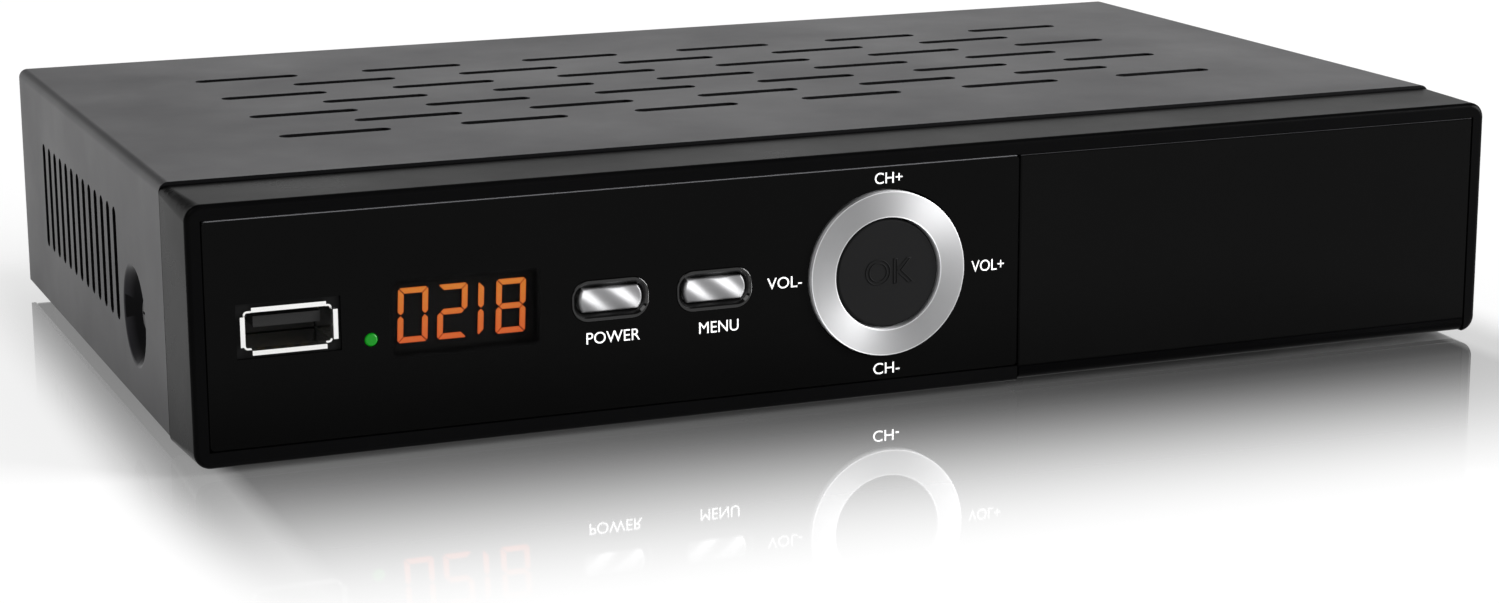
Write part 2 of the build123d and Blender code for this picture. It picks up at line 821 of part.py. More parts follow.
with BuildPart() as ir_receiver:
    receiver_front = front + front_board_depth - receiver_thick
    receiver_z = base + receiver_height
    block(
        receiver_x - receiver_width / 2, receiver_x + receiver_width / 2,
        receiver_front, front + front_board_depth,
        receiver_z - receiver_tall / 2, receiver_z + receiver_tall / 2,
    )
    with Locations((receiver_x, receiver_front, receiver_z)):
        Sphere(receiver_lens)
finish(ir_receiver, "ir_receiver")

# ================================================================ sheet steel case
cover_front = seam + seam_gap
inward = {-1: (0, 90, 0), 1: (0, -90, 0)}
stand_on = (Align.CENTER, Align.CENTER, Align.MIN)

with BuildPart() as top_cover:
    with BuildSketch(upright(cover_front)) as cover_profile:
        with Locations((0, (cover_bottom + cover_top) / 2)):
            Rectangle(case_width, cover_top - cover_bottom)
        fillet(cover_profile.vertices().group_by(Axis.Y)[-1], cover_corner)
        with BuildSketch(mode=Mode.SUBTRACT) as cover_hollow:
            with Locations((0, (cover_bottom + cover_top - sheet) / 2)):
                Rectangle(case_width - 2 * sheet, cover_top - cover_bottom - sheet)
            fillet(cover_hollow.vertices().group_by(Axis.Y)[-1], max(cover_corner - sheet, sheet / 4))
    extrude(amount=cover_front - rear)
    # lip folded down behind the rear panel
    block(
        sheet - case_width / 2, case_width / 2 - sheet, panel_outside, rear,
        cover_top - rear_lip, cover_top - sheet,
    )
    # staggered rows of slots in the top
    with BuildSketch(Plane.XY.offset(cover_top)):
        for row in range(slot_rows):
            count = top_slots - row % 2
            with Locations((0, seam + first_row + row * row_pitch)):
                with GridLocations(slot_pitch, 0, count, 1):
                    SlotOverall(slot_length, slot_width)
    extrude(amount=-sheet, mode=Mode.SUBTRACT)
    # one row of upright slots in each side
    with BuildSketch(Plane.YZ.offset(-case_width / 2)):
        for index in range(side_slots):
            with Locations((seam + side_slot_first + index * side_slot_pitch, base + side_slot_level)):
                SlotOverall(side_slot_height, side_slot_width, rotation=90)
    extrude(amount=case_width, mode=Mode.SUBTRACT)
    # pressed dimples that sink the side screws
    for side in (-1, 1):
        with Locations(Location((side * (case_width / 2 - sheet), dimple_y, dimple_z), inward[side])):
            Cone(dimple_radius + sheet / 2, dimple_floor + sheet, dimple_depth, align=stand_on)
        with Locations(Location((side * case_width / 2, dimple_y, dimple_z), inward[side])):
            Cone(dimple_radius, dimple_floor, dimple_depth, align=stand_on, mode=Mode.SUBTRACT)
            Cylinder(
                screw_radius + fit, dimple_depth + sheet, align=stand_on, mode=Mode.SUBTRACT
            )
    mouths = top_cover.edges().filter_by(GeomType.CIRCLE)
    fillet(mouths.filter_by(lambda edge: abs(edge.radius - dimple_radius) < 0.01), sheet)
    # screw holes in the lip
    with BuildSketch(upright(rear)):
        with Locations(*top_screw_spots):
            Circle(screw_radius + fit)
    extrude(amount=sheet, mode=Mode.SUBTRACT)
finish(top_cover, "top_cover")

with BuildPart() as chassis_tray:
    block(-tray_side, tray_side, cover_front, panel_inside, cover_bottom, tray_floor)
    for side in (-1, 1):
        near, far = sorted((side * (tray_side - sheet), side * tray_side))
        block(near, far, cover_front, panel_inside, cover_bottom, cover_bottom + flange_height)
        block(
            near, far, dimple_y - dimple_radius, dimple_y + dimple_radius,
            cover_bottom, dimple_z + dimple_radius,
        )
    block(-tray_side, tray_side, cover_front, cover_front + sheet, cover_bottom, cover_bottom + flange_height)
    for tab_x, _ in low_screw_spots:
        block(
            tab_x - tab_half, tab_x + tab_half, panel_inside - sheet, panel_inside,
            cover_bottom, cover_bottom + tab_height,
        )
    with BuildSketch(Plane.YZ.offset(-tray_side)):
        with Locations((dimple_y, dimple_z)):
            Circle(screw_radius + fit)
    extrude(amount=2 * tray_side, mode=Mode.SUBTRACT)
    with BuildSketch(upright(cover_front)):
        with Locations(*bezel_screw_spots):
            Circle(screw_radius + fit)
    extrude(amount=-sheet, mode=Mode.SUBTRACT)
    with BuildSketch(upright(panel_inside)):
        with Locations(*low_screw_spots):
            Circle(screw_radius + fit)
    extrude(amount=sheet, mode=Mode.SUBTRACT)
    with BuildSketch(Plane.XY.offset(cover_bottom)):
        with Locations(*feet_spots):
            Circle(foot_stem_radius + fit)
        # cooling slots under the two boards
        for vent_x in board_middles:
            with Locations((vent_x, (board_front + board_rear) / 2)):
                with GridLocations(floor_slot_pitch, 0, floor_slots, 1):
                    SlotOverall(slot_length, slot_width, rotation=90)
    extrude(amount=sheet, mode=Mode.SUBTRACT)
finish(chassis_tray, "chassis_tray")

av_drop = av_tall / 3
with BuildPart() as rear_panel:
    with BuildSketch(upright(panel_inside)) as panel_profile:
        with Locations((0, (cover_bottom + cover_top - sheet - fit) / 2)):
            Rectangle(case_width - 2 * sheet - 2 * fit, cover_top - sheet - fit - cover_bottom)
        fillet(panel_profile.vertices().group_by(Axis.Y)[-1], cover_corner)
    extrude(amount=-sheet)
    with BuildSketch(upright(panel_inside)):
        with Locations(*top_screw_spots, *low_screw_spots):
            Circle(screw_radius + fit)
        with Locations(*[(x, coax_z) for x in coax_spots]):
            Circle(coax_radius + fit)
        with Locations(*[(x, jack_z) for x in jack_spots]):
            Circle(jack_sleeve_radius + fit)
        with Locations((av_x, av_z)):
            Rectangle(av_width + 2 * fit, av_tall + 2 * fit)
        with Locations((inlet_x, inlet_z)):
            Rectangle(inlet_body_width + 2 * fit, inlet_body_height + 2 * fit)
    extrude(amount=-sheet, mode=Mode.SUBTRACT)
finish(rear_panel, "rear_panel")

with BuildPart() as rubber_feet:
    with BuildSketch(Plane.XY):
        with Locations(*feet_spots):
            Circle(foot_radius)
    extrude(amount=cover_bottom)
    chamfer(rubber_feet.edges().group_by(Axis.Z)[0], cover_bottom / 4)
    with BuildSketch(Plane.XY.offset(cover_bottom)):
        with Locations(*feet_spots):
            Circle(foot_stem_radius)
    extrude(amount=sheet)
    with BuildSketch(Plane.XY.offset(tray_floor)):
        with Locations(*feet_spots):
            Circle(foot_stem_radius + 2 * fit)
    extrude(amount=2 * sheet, taper=foot_barb_angle)
finish(rubber_feet, "rubber_feet")


def pan_screw():
    """A pan-head screw with a cross recess: the head stands on Z = 0 and the shank hangs below."""
    with BuildPart() as screw:
        Cylinder(screw_head_radius, screw_head, align=stand_on)
        fillet(screw.edges().group_by(Axis.Z)[-1], screw_head / 2)
        with Locations((0, 0, screw_head)):
            Box(screw_cross, screw_bit / 2, screw_bit * 2, mode=Mode.SUBTRACT)
            Box(screw_bit / 2, screw_cross, screw_bit * 2, mode=Mode.SUBTRACT)
        Cylinder(screw_radius, screw_length, align=(Align.CENTER, Align.CENTER, Align.MAX))
    return screw.part


facing_rear = (-90, 0, 0)
outward = {-1: (0, -90, 0), 1: (0, 90, 0)}

with BuildPart() as cover_screws:
    for side in (-1, 1):
        with Locations(Location((side * (case_width / 2 - dimple_depth), dimple_y, dimple_z), outward[side])):
            add(pan_screw())
    for x, z in top_screw_spots:
        with Locations(Location((x, rear, z), facing_rear)):
            add(pan_screw())
    for x, z in low_screw_spots:
        with Locations(Location((x, panel_outside, z), facing_rear)):
            add(pan_screw())
finish(cover_screws, "cover_screws")

with BuildPart() as inner_screws:
    for x, z in bezel_screw_spots:
        with Locations(Location((x, cover_front + sheet, z), facing_rear)):
            add(pan_screw())
    for x, z in front_bosses:
        with Locations(Location((x, front + front_board_depth + board_thick, z), facing_rear)):
            add(pan_screw())
    for x, y in main_holes + power_holes:
        with Locations((x, y, board_over)):
            add(pan_screw())
finish(inner_screws, "inner_screws")

# ================================================================ boards inside the case
with BuildPart() as board_standoffs:
    with BuildSketch(Plane.XY.offset(tray_floor)):
        with Locations(*main_holes, *power_holes):
            Circle(standoff_radius)
            Circle(screw_radius + pin_fit, mode=Mode.SUBTRACT)
    extrude(amount=standoff)
finish(board_standoffs, "board_standoffs")

board_limits = {
    "main_board": (main_board_left, main_board_right, board_front, main_holes),
    "power_board": (power_board_left, power_board_right, power_board_front, power_holes),
}
for board_name, (left, right, near_edge, holes) in board_limits.items():
    with BuildPart() as circuit_board:
        block(left, right, near_edge, board_rear, board_under, board_over)
        with BuildSketch(Plane.XY.offset(board_under)):
            with Locations(*holes):
                Circle(screw_radius + fit)
        extrude(amount=board_thick, mode=Mode.SUBTRACT)
    finish(circuit_board, board_name)

with BuildPart() as tuner_can:
    can_left = tuner_x - tuner_width / 2
    can_right = tuner_x + tuner_width / 2
    can_front = board_rear - tuner_length
    can_top = board_over + tuner_height
    block(can_left, can_right, can_front, board_rear, board_over, can_top)
    block(
        can_left + tuner_wall, can_right - tuner_wall, can_front + tuner_wall, board_rear - tuner_wall,
        board_over, can_top - tuner_wall, Mode.SUBTRACT,
    )
    with BuildSketch(Plane.XY.offset(can_top)):
        with Locations((tuner_x, board_rear - tuner_length / 2)):
            with GridLocations(tuner_width / 4, tuner_length / 2, 3, 2):
                Circle(tuner_hole)
    extrude(amount=-tuner_wall, mode=Mode.SUBTRACT)
finish(tuner_can, "tuner_can")

thread_pitch = 0.8
thread_depth = 0.4
thread_turns = 10
coax_end = rear + coax_reach
with BuildPart() as coax_sockets:
    for socket_x in coax_spots:
        with BuildSketch(upright(board_rear)):
            with Locations((socket_x, coax_z)):
                Circle(coax_radius)
                Circle(coax_bore, mode=Mode.SUBTRACT)
        extrude(amount=board_rear - coax_end)
        with BuildSketch(Plane.YZ.offset(socket_x)):
            for turn in range(thread_turns):
                groove_y = coax_end - (turn + 1) * thread_pitch
                with BuildLine():
                    Polyline(
                        (groove_y - thread_pitch / 2, coax_z + coax_radius + fit),
                        (groove_y, coax_z + coax_radius - thread_depth),
                        (groove_y + thread_pitch / 2, coax_z + coax_radius + fit), close=True,
                    )
                make_face()
        revolve(axis=Axis((socket_x, 0, coax_z), (0, 1, 0)), mode=Mode.SUBTRACT)
finish(coax_sockets, "coax_sockets")

with BuildPart() as coax_nuts:
    with BuildSketch(upright(panel_outside)):
        with Locations(*[(x, coax_z) for x in coax_spots]):
            RegularPolygon(coax_nut_radius, 6)
            Circle(coax_radius + pin_fit, mode=Mode.SUBTRACT)
    extrude(amount=-coax_nut)
finish(coax_nuts, "coax_nuts")

with BuildPart() as coax_insulators:
    with BuildSketch(upright(board_rear)):
        with Locations(*[(x, coax_z) for x in coax_spots]):
            Circle(coax_bore - pin_fit)
            Circle(screw_bit / 2, mode=Mode.SUBTRACT)
    extrude(amount=board_rear - coax_end + sheet)
finish(coax_insulators, "coax_insulators")


def av_outline(shrink=0.0):
    """The mouth of the digital socket: a rectangle with its two lower corners cut off, made smaller."""
    half = av_width / 2 - shrink
    tall = av_tall / 2 - shrink
    with BuildSketch() as outline:
        with BuildLine():
            Polyline(
                (-half, tall), (half, tall), (half, -tall + av_drop), (half - av_drop, -tall),
                (av_drop - half, -tall), (-half, -tall + av_drop), close=True,
            )
        make_face()
    return outline.sketch


av_front = board_rear - av_length
av_mouth = panel_outside + av_wall
with BuildPart() as digital_av_shell:
    with BuildSketch(upright(av_front)):
        with Locations((av_x, av_z)):
            add(av_outline())
            add(av_outline(av_wall), mode=Mode.SUBTRACT)
    extrude(amount=av_front - av_mouth)
finish(digital_av_shell, "digital_av_shell")

with BuildPart() as digital_av_tongue:
    with BuildSketch(upright(av_front)):
        with Locations((av_x, av_z)):
            add(av_outline(av_wall + pin_fit))
    extrude(amount=-2 * sheet)
    block(
        av_x - av_width / 3, av_x + av_width / 3, av_front, av_mouth - 2 * sheet,
        av_z - av_drop / 4, av_z + av_drop / 2,
    )
finish(digital_av_tongue, "digital_av_tongue")

with BuildPart() as av_jack_block:
    block(
        jack_x - 1.5 * jack_pitch, jack_x + 1.5 * jack_pitch, board_rear - jack_block_length,
        panel_inside, board_over, board_over + jack_height,
    )
    with BuildSketch(upright(panel_inside)):
        with Locations(*[(x, jack_z) for x in jack_spots]):
            Circle(jack_bore)
    extrude(amount=jack_block_length / 2, mode=Mode.SUBTRACT)
finish(av_jack_block, "av_jack_block")

jack_wall = 0.7
with BuildPart() as av_jack_sleeves:
    with BuildSketch(upright(panel_inside)):
        with Locations(*[(x, jack_z) for x in jack_spots]):
            Circle(jack_sleeve_radius)
            Circle(jack_sleeve_radius - jack_wall, mode=Mode.SUBTRACT)
    extrude(amount=panel_inside - panel_outside - jack_reach)
finish(av_jack_sleeves, "av_jack_sleeves")

for colour, socket_x in zip(("yellow", "white", "red"), reversed(jack_spots)):
    with BuildPart() as jack_insert:
        with BuildSketch(upright(panel_inside)):
            with Locations((socket_x, jack_z)):
                Circle(jack_sleeve_radius - jack_wall - pin_fit)
                Circle(jack_bore, mode=Mode.SUBTRACT)
        extrude(amount=panel_inside - panel_outside - jack_reach + sheet)
        with BuildSketch(upright(panel_outside)):
            with Locations((socket_x, jack_z)):
                Circle(jack_ring_radius + sheet)
                Circle(jack_sleeve_radius + pin_fit, mode=Mode.SUBTRACT)
        extrude(amount=-sheet)
    finish(jack_insert, f"{colour}_jack_insert")

inlet_mouth = panel_outside + inlet_flange
inlet_back = inlet_mouth - inlet_depth
with BuildPart() as mains_inlet:
    with BuildSketch(upright(inlet_back)):
        with Locations((inlet_x, inlet_z)):
            Rectangle(inlet_body_width, inlet_body_height)
    extrude(amount=inlet_back - panel_outside)
    with BuildSketch(upright(panel_outside)):
        with Locations((inlet_x, inlet_z)):
            RectangleRounded(
                inlet_body_width + 2 * inlet_wall, inlet_body_height + 2 * inlet_wall, inlet_wall
            )
    extrude(amount=-inlet_flange)
    fillet(mains_inlet.faces().sort_by(Axis.Y)[-1].edges(), inlet_wall / 3)
    with BuildSketch(upright(inlet_mouth)):
        with Locations((inlet_x, inlet_z)):
            with GridLocations(inlet_pin_pitch, 0, 2, 1):
                Circle(inlet_lobe_radius)
            Rectangle(inlet_pin_pitch, inlet_waist)
    extrude(amount=inlet_depth - inlet_wall, mode=Mode.SUBTRACT)
finish(mains_inlet, "mains_inlet")

with BuildPart() as inlet_pins:
    with BuildSketch(upright(inlet_back + inlet_wall)):
        with Locations((inlet_x, inlet_z)):
            with GridLocations(inlet_pin_pitch, 0, 2, 1):
                Circle(inlet_pin_radius)
    extrude(amount=2 * inlet_wall - inlet_depth + inlet_flange / 2)
    fillet(inlet_pins.faces().sort_by(Axis.Y)[-2:].edges(), inlet_pin_radius / 2)
finish(inlet_pins, "inlet_pins")

# ---------------------------------------------------------------- parts on the main board
chip_inset = 78.0
chip_x = main_board_right - chip_inset
chip_y = (board_front + board_rear) / 2
chip_size = 21.0
chip_thick = 1.6
sink_size = 27.0
sink_base = 2.0
sink_fins = 7
sink_fin_height = 8.0
with BuildPart() as main_chip:
    with Locations((chip_x, chip_y, board_over)):
        Box(chip_size, chip_size, chip_thick, align=stand_on)
    chamfer(main_chip.edges().group_by(Axis.Z)[-1], chip_thick / 6)
finish(main_chip, "main_chip")

with BuildPart() as chip_heatsink:
    with Locations((chip_x, chip_y, board_over + chip_thick)):
        Box(sink_size, sink_size, sink_base, align=stand_on)
    with Locations((chip_x, chip_y, board_over + chip_thick + sink_base)):
        with GridLocations(0, sink_size / sink_fins, 1, sink_fins):
            Box(sink_size, sink_size / sink_fins / 3, sink_fin_height, align=stand_on)
finish(chip_heatsink, "chip_heatsink")

memory_reach = 28.0
memory_pitch = 14.0
flash_setback = 30.0
sound_inset = 28.0
sound_lead = 6.0
supply_inset = 22.0
supply_setback = 18.0
# X, Y, width, length
memory_left = (chip_x + memory_reach, chip_y, 10.0, 14.0)
memory_right = (chip_x + memory_reach + memory_pitch, chip_y, 10.0, 14.0)
flash_chip = (chip_x, chip_y + flash_setback, 12.0, 18.0)
sound_chip = (main_board_left + sound_inset, chip_y - sound_lead, 8.0, 6.0)
supply_chip = (main_board_left + supply_inset, chip_y + supply_setback, 6.0, 6.0)
with BuildPart() as board_chips:
    for spot_x, spot_y, wide, long in (memory_left, memory_right, flash_chip, sound_chip, supply_chip):
        with Locations((spot_x, spot_y, board_over)):
            Box(wide, long, chip_thick, align=stand_on)
finish(board_chips, "board_chips")

capacitor_radius = 3.2
capacitor_height = 10.0
capacitor_edge = 5.0
front_pair_lead = 24.0
front_pair_inset = 12.0
front_pair_pitch = 16.0
jack_pair_reach = 8.0
jack_pair_pitch = 10.0
jack_pair_setback = 34.0
chip_capacitor_reach = 22.0
side_capacitor_inset = 16.0
main_capacitors = [
    (main_board_left + front_pair_inset, chip_y - front_pair_lead),
    (main_board_left + front_pair_inset, chip_y - front_pair_lead + front_pair_pitch),
    (jack_x - jack_pair_reach - jack_pair_pitch, chip_y + jack_pair_setback),
    (jack_x - jack_pair_reach, chip_y + jack_pair_setback),
    (chip_x - chip_capacitor_reach, chip_y - front_pair_lead),
    (main_board_right - side_capacitor_inset, chip_y),
]
output_setbacks = (14.0, 26.0, 60.0)
output_x = power_board_right - capacitor_edge
output_capacitors = [(output_x, power_board_front + setback) for setback in output_setbacks]
with BuildPart() as board_capacitors:
    with BuildSketch(Plane.XY.offset(board_over)):
        with Locations(*main_capacitors, *output_capacitors):
            Circle(capacitor_radius)
    extrude(amount=capacitor_height)
    fillet(board_capacitors.edges().group_by(Axis.Z)[-1], capacitor_radius / 6)
finish(board_capacitors, "board_capacitors")

reader_wall = 2.0
reader_half = card_width / 2 + reader_wall
reader_tall = 5.2
reader_length = 40.0
reader_leg_spread = 30.0
reader_front = front + bay_depth
with BuildPart() as card_reader:
    block(
        card_x - reader_half, card_x + reader_half, reader_front, reader_front + reader_length,
        card_z - reader_tall / 2, card_z + reader_tall / 2,
    )
    block(
        card_x - card_width / 2, card_x + card_width / 2, reader_front,
        reader_front + reader_length - bay_wall,
        card_z - card_slot_height / 2, card_z + card_slot_height / 2, Mode.SUBTRACT,
    )
    with BuildSketch(Plane.XY.offset(board_over)):
        for leg_y in (board_front + standoff, reader_front + reader_length - standoff):
            with Locations((card_x, leg_y)):
                with GridLocations(reader_leg_spread, 0, 2, 1):
                    Circle(standoff_radius)
    extrude(amount=card_z - reader_tall / 2 - board_over)
finish(card_reader, "card_reader")

# ---------------------------------------------------------------- cables between the boards
plug_thick = 4.0
ribbon_inset = 22.0
ribbon_x = main_board_left + ribbon_inset
ribbon_width = 14.0
ribbon_thick = 0.3
ribbon_rise = 10.0
ribbon_reach = 10.0
ribbon_bend = 4.0
ribbon_level = board_over + ribbon_rise
ribbon_landing = board_front + ribbon_reach
harness_setback = 40.0
plug_inset = 4.0
harness_y = power_board_front + harness_setback
harness_left = power_board_right - plug_inset
harness_right = main_board_left + plug_inset
harness_rise = 9.0
harness_wires = 4
wire_pitch = 2.5
wire_radius = 0.7
board_back = front + front_board_depth + board_thick
with BuildPart() as board_connectors:
    ribbon_half = ribbon_width / 2 + 1
    block(
        ribbon_x - ribbon_half, ribbon_x + ribbon_half, board_back, board_back + plug_thick / 2,
        ribbon_level - plug_thick / 2, ribbon_level + plug_thick / 2,
    )
    block(
        ribbon_x - ribbon_half, ribbon_x + ribbon_half, ribbon_landing - plug_thick / 2,
        ribbon_landing + plug_thick / 2, board_over, board_over + plug_thick,
    )
    harness_half = harness_wires * wire_pitch / 2
    for plug_x in (harness_left, harness_right):
        block(
            plug_x - plug_thick / 2, plug_x + plug_thick / 2, harness_y - harness_half,
            harness_y + harness_half, board_over, board_over + plug_thick,
        )
finish(board_connectors, "board_connectors")

with BuildPart() as ribbon_cable:
    with BuildSketch(Plane.YZ.offset(ribbon_x - ribbon_width / 2)):
        with BuildLine():
            FilletPolyline(
                (board_back + plug_thick / 2, ribbon_level), (ribbon_landing, ribbon_level),
                (ribbon_landing, board_over + plug_thick), radius=ribbon_bend,
            )
        trace(line_width=ribbon_thick)
    extrude(amount=ribbon_width)
finish(ribbon_cable, "ribbon_cable")

with BuildPart() as power_harness:
    for index in range(harness_wires):
        wire_y = harness_y + (index - (harness_wires - 1) / 2) * wire_pitch
        with BuildLine() as wire_route:
            FilletPolyline(
                (harness_left, wire_y, board_over + plug_thick),
                (harness_left, wire_y, board_over + plug_thick + harness_rise),
                (harness_right, wire_y, board_over + plug_thick + harness_rise),
                (harness_right, wire_y, board_over + plug_thick), radius=ribbon_bend,
            )
        with BuildSketch(Plane.XY.offset(board_over + plug_thick)):
            with Locations((harness_left, wire_y)):
                Circle(wire_radius)
        sweep(path=wire_route.line)
finish(power_harness, "power_harness")

# ---------------------------------------------------------------- parts on the power board
transformer_inset = 34.0
transformer_setback = 34.0
transformer_x = power_board_left + transformer_inset
transformer_y = power_board_front + transformer_setback
core_wide = 24.0
core_deep = 12.0
core_tall = 20.0
core_leg = 5.0
winding_deep = 20.0
with BuildPart() as transformer_core:
    with BuildSketch(upright(transformer_y - core_deep / 2)):
        with Locations((transformer_x, board_over + core_tall / 2)):
            Rectangle(core_wide, core_tall)
            Rectangle(core_wide - 2 * core_leg, core_tall - 2 * core_leg, mode=Mode.SUBTRACT)
    extrude(amount=-core_deep)
finish(transformer_core, "transformer_core")

with BuildPart() as transformer_winding:
    with BuildSketch(Plane.XY.offset(board_over + core_leg)):
        with Locations((transformer_x, transformer_y)):
            RectangleRounded(core_wide - 2 * core_leg, winding_deep, core_leg / 2)
    extrude(amount=core_tall - 2 * core_leg)
finish(transformer_winding, "transformer_winding")

bulk_radius = 8.0
bulk_height = 22.0
bulk_inset = 14.0
bulk_x = power_board_left + bulk_inset
with BuildPart() as bulk_capacitor:
    with Locations((bulk_x, transformer_y, board_over)):
        Cylinder(bulk_radius, bulk_height, align=stand_on)
    fillet(bulk_capacitor.edges().group_by(Axis.Z)[-1], bulk_radius / 8)
    with Locations((bulk_x, transformer_y, board_over + bulk_height)):
        Box(bulk_radius, sheet, sheet, mode=Mode.SUBTRACT)
        Box(sheet, bulk_radius, sheet, mode=Mode.SUBTRACT)
finish(bulk_capacitor, "bulk_capacitor")

fin_height = 20.0
power_fins = 5
power_sink_setback = 12.0
power_sink_y = power_board_front + power_sink_setback
with BuildPart() as power_heatsink:
    with Locations((transformer_x, power_sink_y, board_over)):
        Box(core_wide, sink_base, fin_height, align=stand_on)
    with Locations((transformer_x, power_sink_y - sink_base, board_over)):
        with GridLocations(core_wide / power_fins, 0, power_fins, 1):
            Box(sink_base / 2, 2 * sink_base, fin_height, align=stand_on)
finish(power_heatsink, "power_heatsink")

fuse_inset = 10.0
fuse_setback = 62.0
fuse_x = power_board_left + fuse_inset
fuse_y = power_board_front + fuse_setback
fuse_width = 8.0
fuse_length = 24.0
fuse_height = 9.0
fuse_round = 3.0
with BuildPart() as mains_fuse:
    with Locations((fuse_x, fuse_y, board_over)):
        Box(fuse_width, fuse_length, fuse_height, align=stand_on)
    fillet(mains_fuse.edges().filter_by(Axis.Y).group_by(Axis.Z)[-1], fuse_round)
finish(mains_fuse, "mains_fuse")
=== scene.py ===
import math

import bpy
from mathutils import Euler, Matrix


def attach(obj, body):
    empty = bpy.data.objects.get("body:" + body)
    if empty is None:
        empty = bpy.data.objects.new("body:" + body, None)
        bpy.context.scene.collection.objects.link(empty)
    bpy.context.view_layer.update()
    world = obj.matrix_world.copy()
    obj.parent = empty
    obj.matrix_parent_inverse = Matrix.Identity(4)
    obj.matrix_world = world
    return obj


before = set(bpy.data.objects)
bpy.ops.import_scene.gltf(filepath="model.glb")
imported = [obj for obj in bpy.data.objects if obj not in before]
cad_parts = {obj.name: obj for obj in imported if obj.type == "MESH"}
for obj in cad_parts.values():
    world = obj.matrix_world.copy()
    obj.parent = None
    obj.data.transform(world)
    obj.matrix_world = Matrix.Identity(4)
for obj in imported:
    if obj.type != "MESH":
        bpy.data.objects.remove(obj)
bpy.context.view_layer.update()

# ---------------------------------------------------------------- table
# A plain white table top, polished enough to mirror the foot of whatever stands on it.
# The mirror fades out a hand's width away from the receiver. The table isn't part of it.
table_size = 8.0
half_width = 0.11
half_depth = 0.0715
mirror_reach = 0.082
mirror_strength = 0.94
mirror_roughness = 0.03
table_white = (0.93, 0.93, 0.93, 1)
table_roughness = 0.3
glow_strength = 0.98
glow_share = 0.8
# the mirror dies out sooner beside and behind the receiver than in front of it
side_fade = 5.5
rear_fade = 3.0
# facing at which the polish begins to show, and at which it shows in full
polish_starts, polish_full = 0.58, 0.76
# the mirror weakens under the two sides, which stand clear of the table
under_dimming = 0.22
dimming_starts, dimming_full = half_width - 0.007, half_width - 0.003
# limits of the shade under the receiver, where it ends and where it is full
shade_side, shade_side_full = half_width - 0.0035, half_width - 0.0065
shade_end, shade_end_full = half_depth + 0.0045, half_depth - 0.0085
bpy.ops.object.select_all(action="DESELECT")
bpy.ops.mesh.primitive_plane_add(size=table_size, location=(0, 0, 0))
table = bpy.context.object
table.name = "table_top"


def wire(tree, kind, inputs=(), **settings):
    """A new node in the tree: its settings, then its inputs as (socket, value or other socket)."""
    node = tree.nodes.new(kind)
    for key, value in settings.items():
        setattr(node, key, value)
    for socket, value in inputs:
        if isinstance(value, bpy.types.NodeSocket):
            tree.links.new(value, node.inputs[socket])
        else:
            node.inputs[socket].default_value = value
    return node


def maths(tree, operation, first, second=0.0, clamp=False):
    """The output of one Math node."""
    return wire(
        tree, "ShaderNodeMath", [(0, first), (1, second)], operation=operation, use_clamp=clamp
    ).outputs[0]


def length(tree, first, second):
    """The length of a flat vector with these two parts."""
    squares = [maths(tree, "POWER", part, 2.0) for part in (first, second)]
    return maths(tree, "SQRT", maths(tree, "ADD", *squares))


def ramp(tree, value, low, high, start=0.0, end=1.0, smooth=False):
    """Start at the low value, end at the high one, and held at both beyond them."""
    return wire(
        tree, "ShaderNodeMapRange",
        [("Value", value), ("From Min", low), ("From Max", high), ("To Min", start), ("To Max", end)],
        interpolation_type="SMOOTHSTEP" if smooth else "LINEAR",
    ).outputs[0]


def coordinates(tree):
    """The x, y and z of a point of the surface, in metres."""
    point = wire(tree, "ShaderNodeTexCoord").outputs["Object"]
    return tuple(wire(tree, "ShaderNodeSeparateXYZ", [(0, point)]).outputs)


def looked_at(tree):
    """Light Path's outputs, and 1 for the rays that show a surface: seen, mirrored or let through."""
    paths = wire(tree, "ShaderNodeLightPath").outputs
    indirect = maths(tree, "MAXIMUM", paths["Is Glossy Ray"], paths["Is Transmission Ray"])
    return paths, maths(tree, "MAXIMUM", paths["Is Camera Ray"], indirect)


table_finish = bpy.data.materials.new("white_table")
table_finish.use_nodes = True
tree = table_finish.node_tree
tree.nodes.clear()
x, y, z = coordinates(tree)
from_side = maths(tree, "ABSOLUTE", x)
from_end = maths(tree, "ABSOLUTE", y)
aside = maths(tree, "MAXIMUM", maths(tree, "SUBTRACT", from_side, half_width))
in_front = maths(tree, "SUBTRACT", maths(tree, "MULTIPLY", y, -1.0), half_depth)
behind = maths(tree, "MULTIPLY", maths(tree, "SUBTRACT", y, half_depth), rear_fade)
ahead = maths(tree, "MAXIMUM", maths(tree, "MAXIMUM", in_front, behind))
away = length(tree, maths(tree, "MULTIPLY", aside, side_fade), ahead)
near = ramp(tree, away, 0.0, mirror_reach, mirror_strength, 0.0, smooth=True)
facing = wire(tree, "ShaderNodeLayerWeight").outputs["Facing"]
low_angle = ramp(tree, facing, polish_starts, polish_full, smooth=True)
under_side = ramp(tree, from_side, dimming_starts, dimming_full, 1.0, 1.0 - under_dimming)
polish = maths(tree, "MULTIPLY", maths(tree, "MULTIPLY", near, low_angle), under_side)
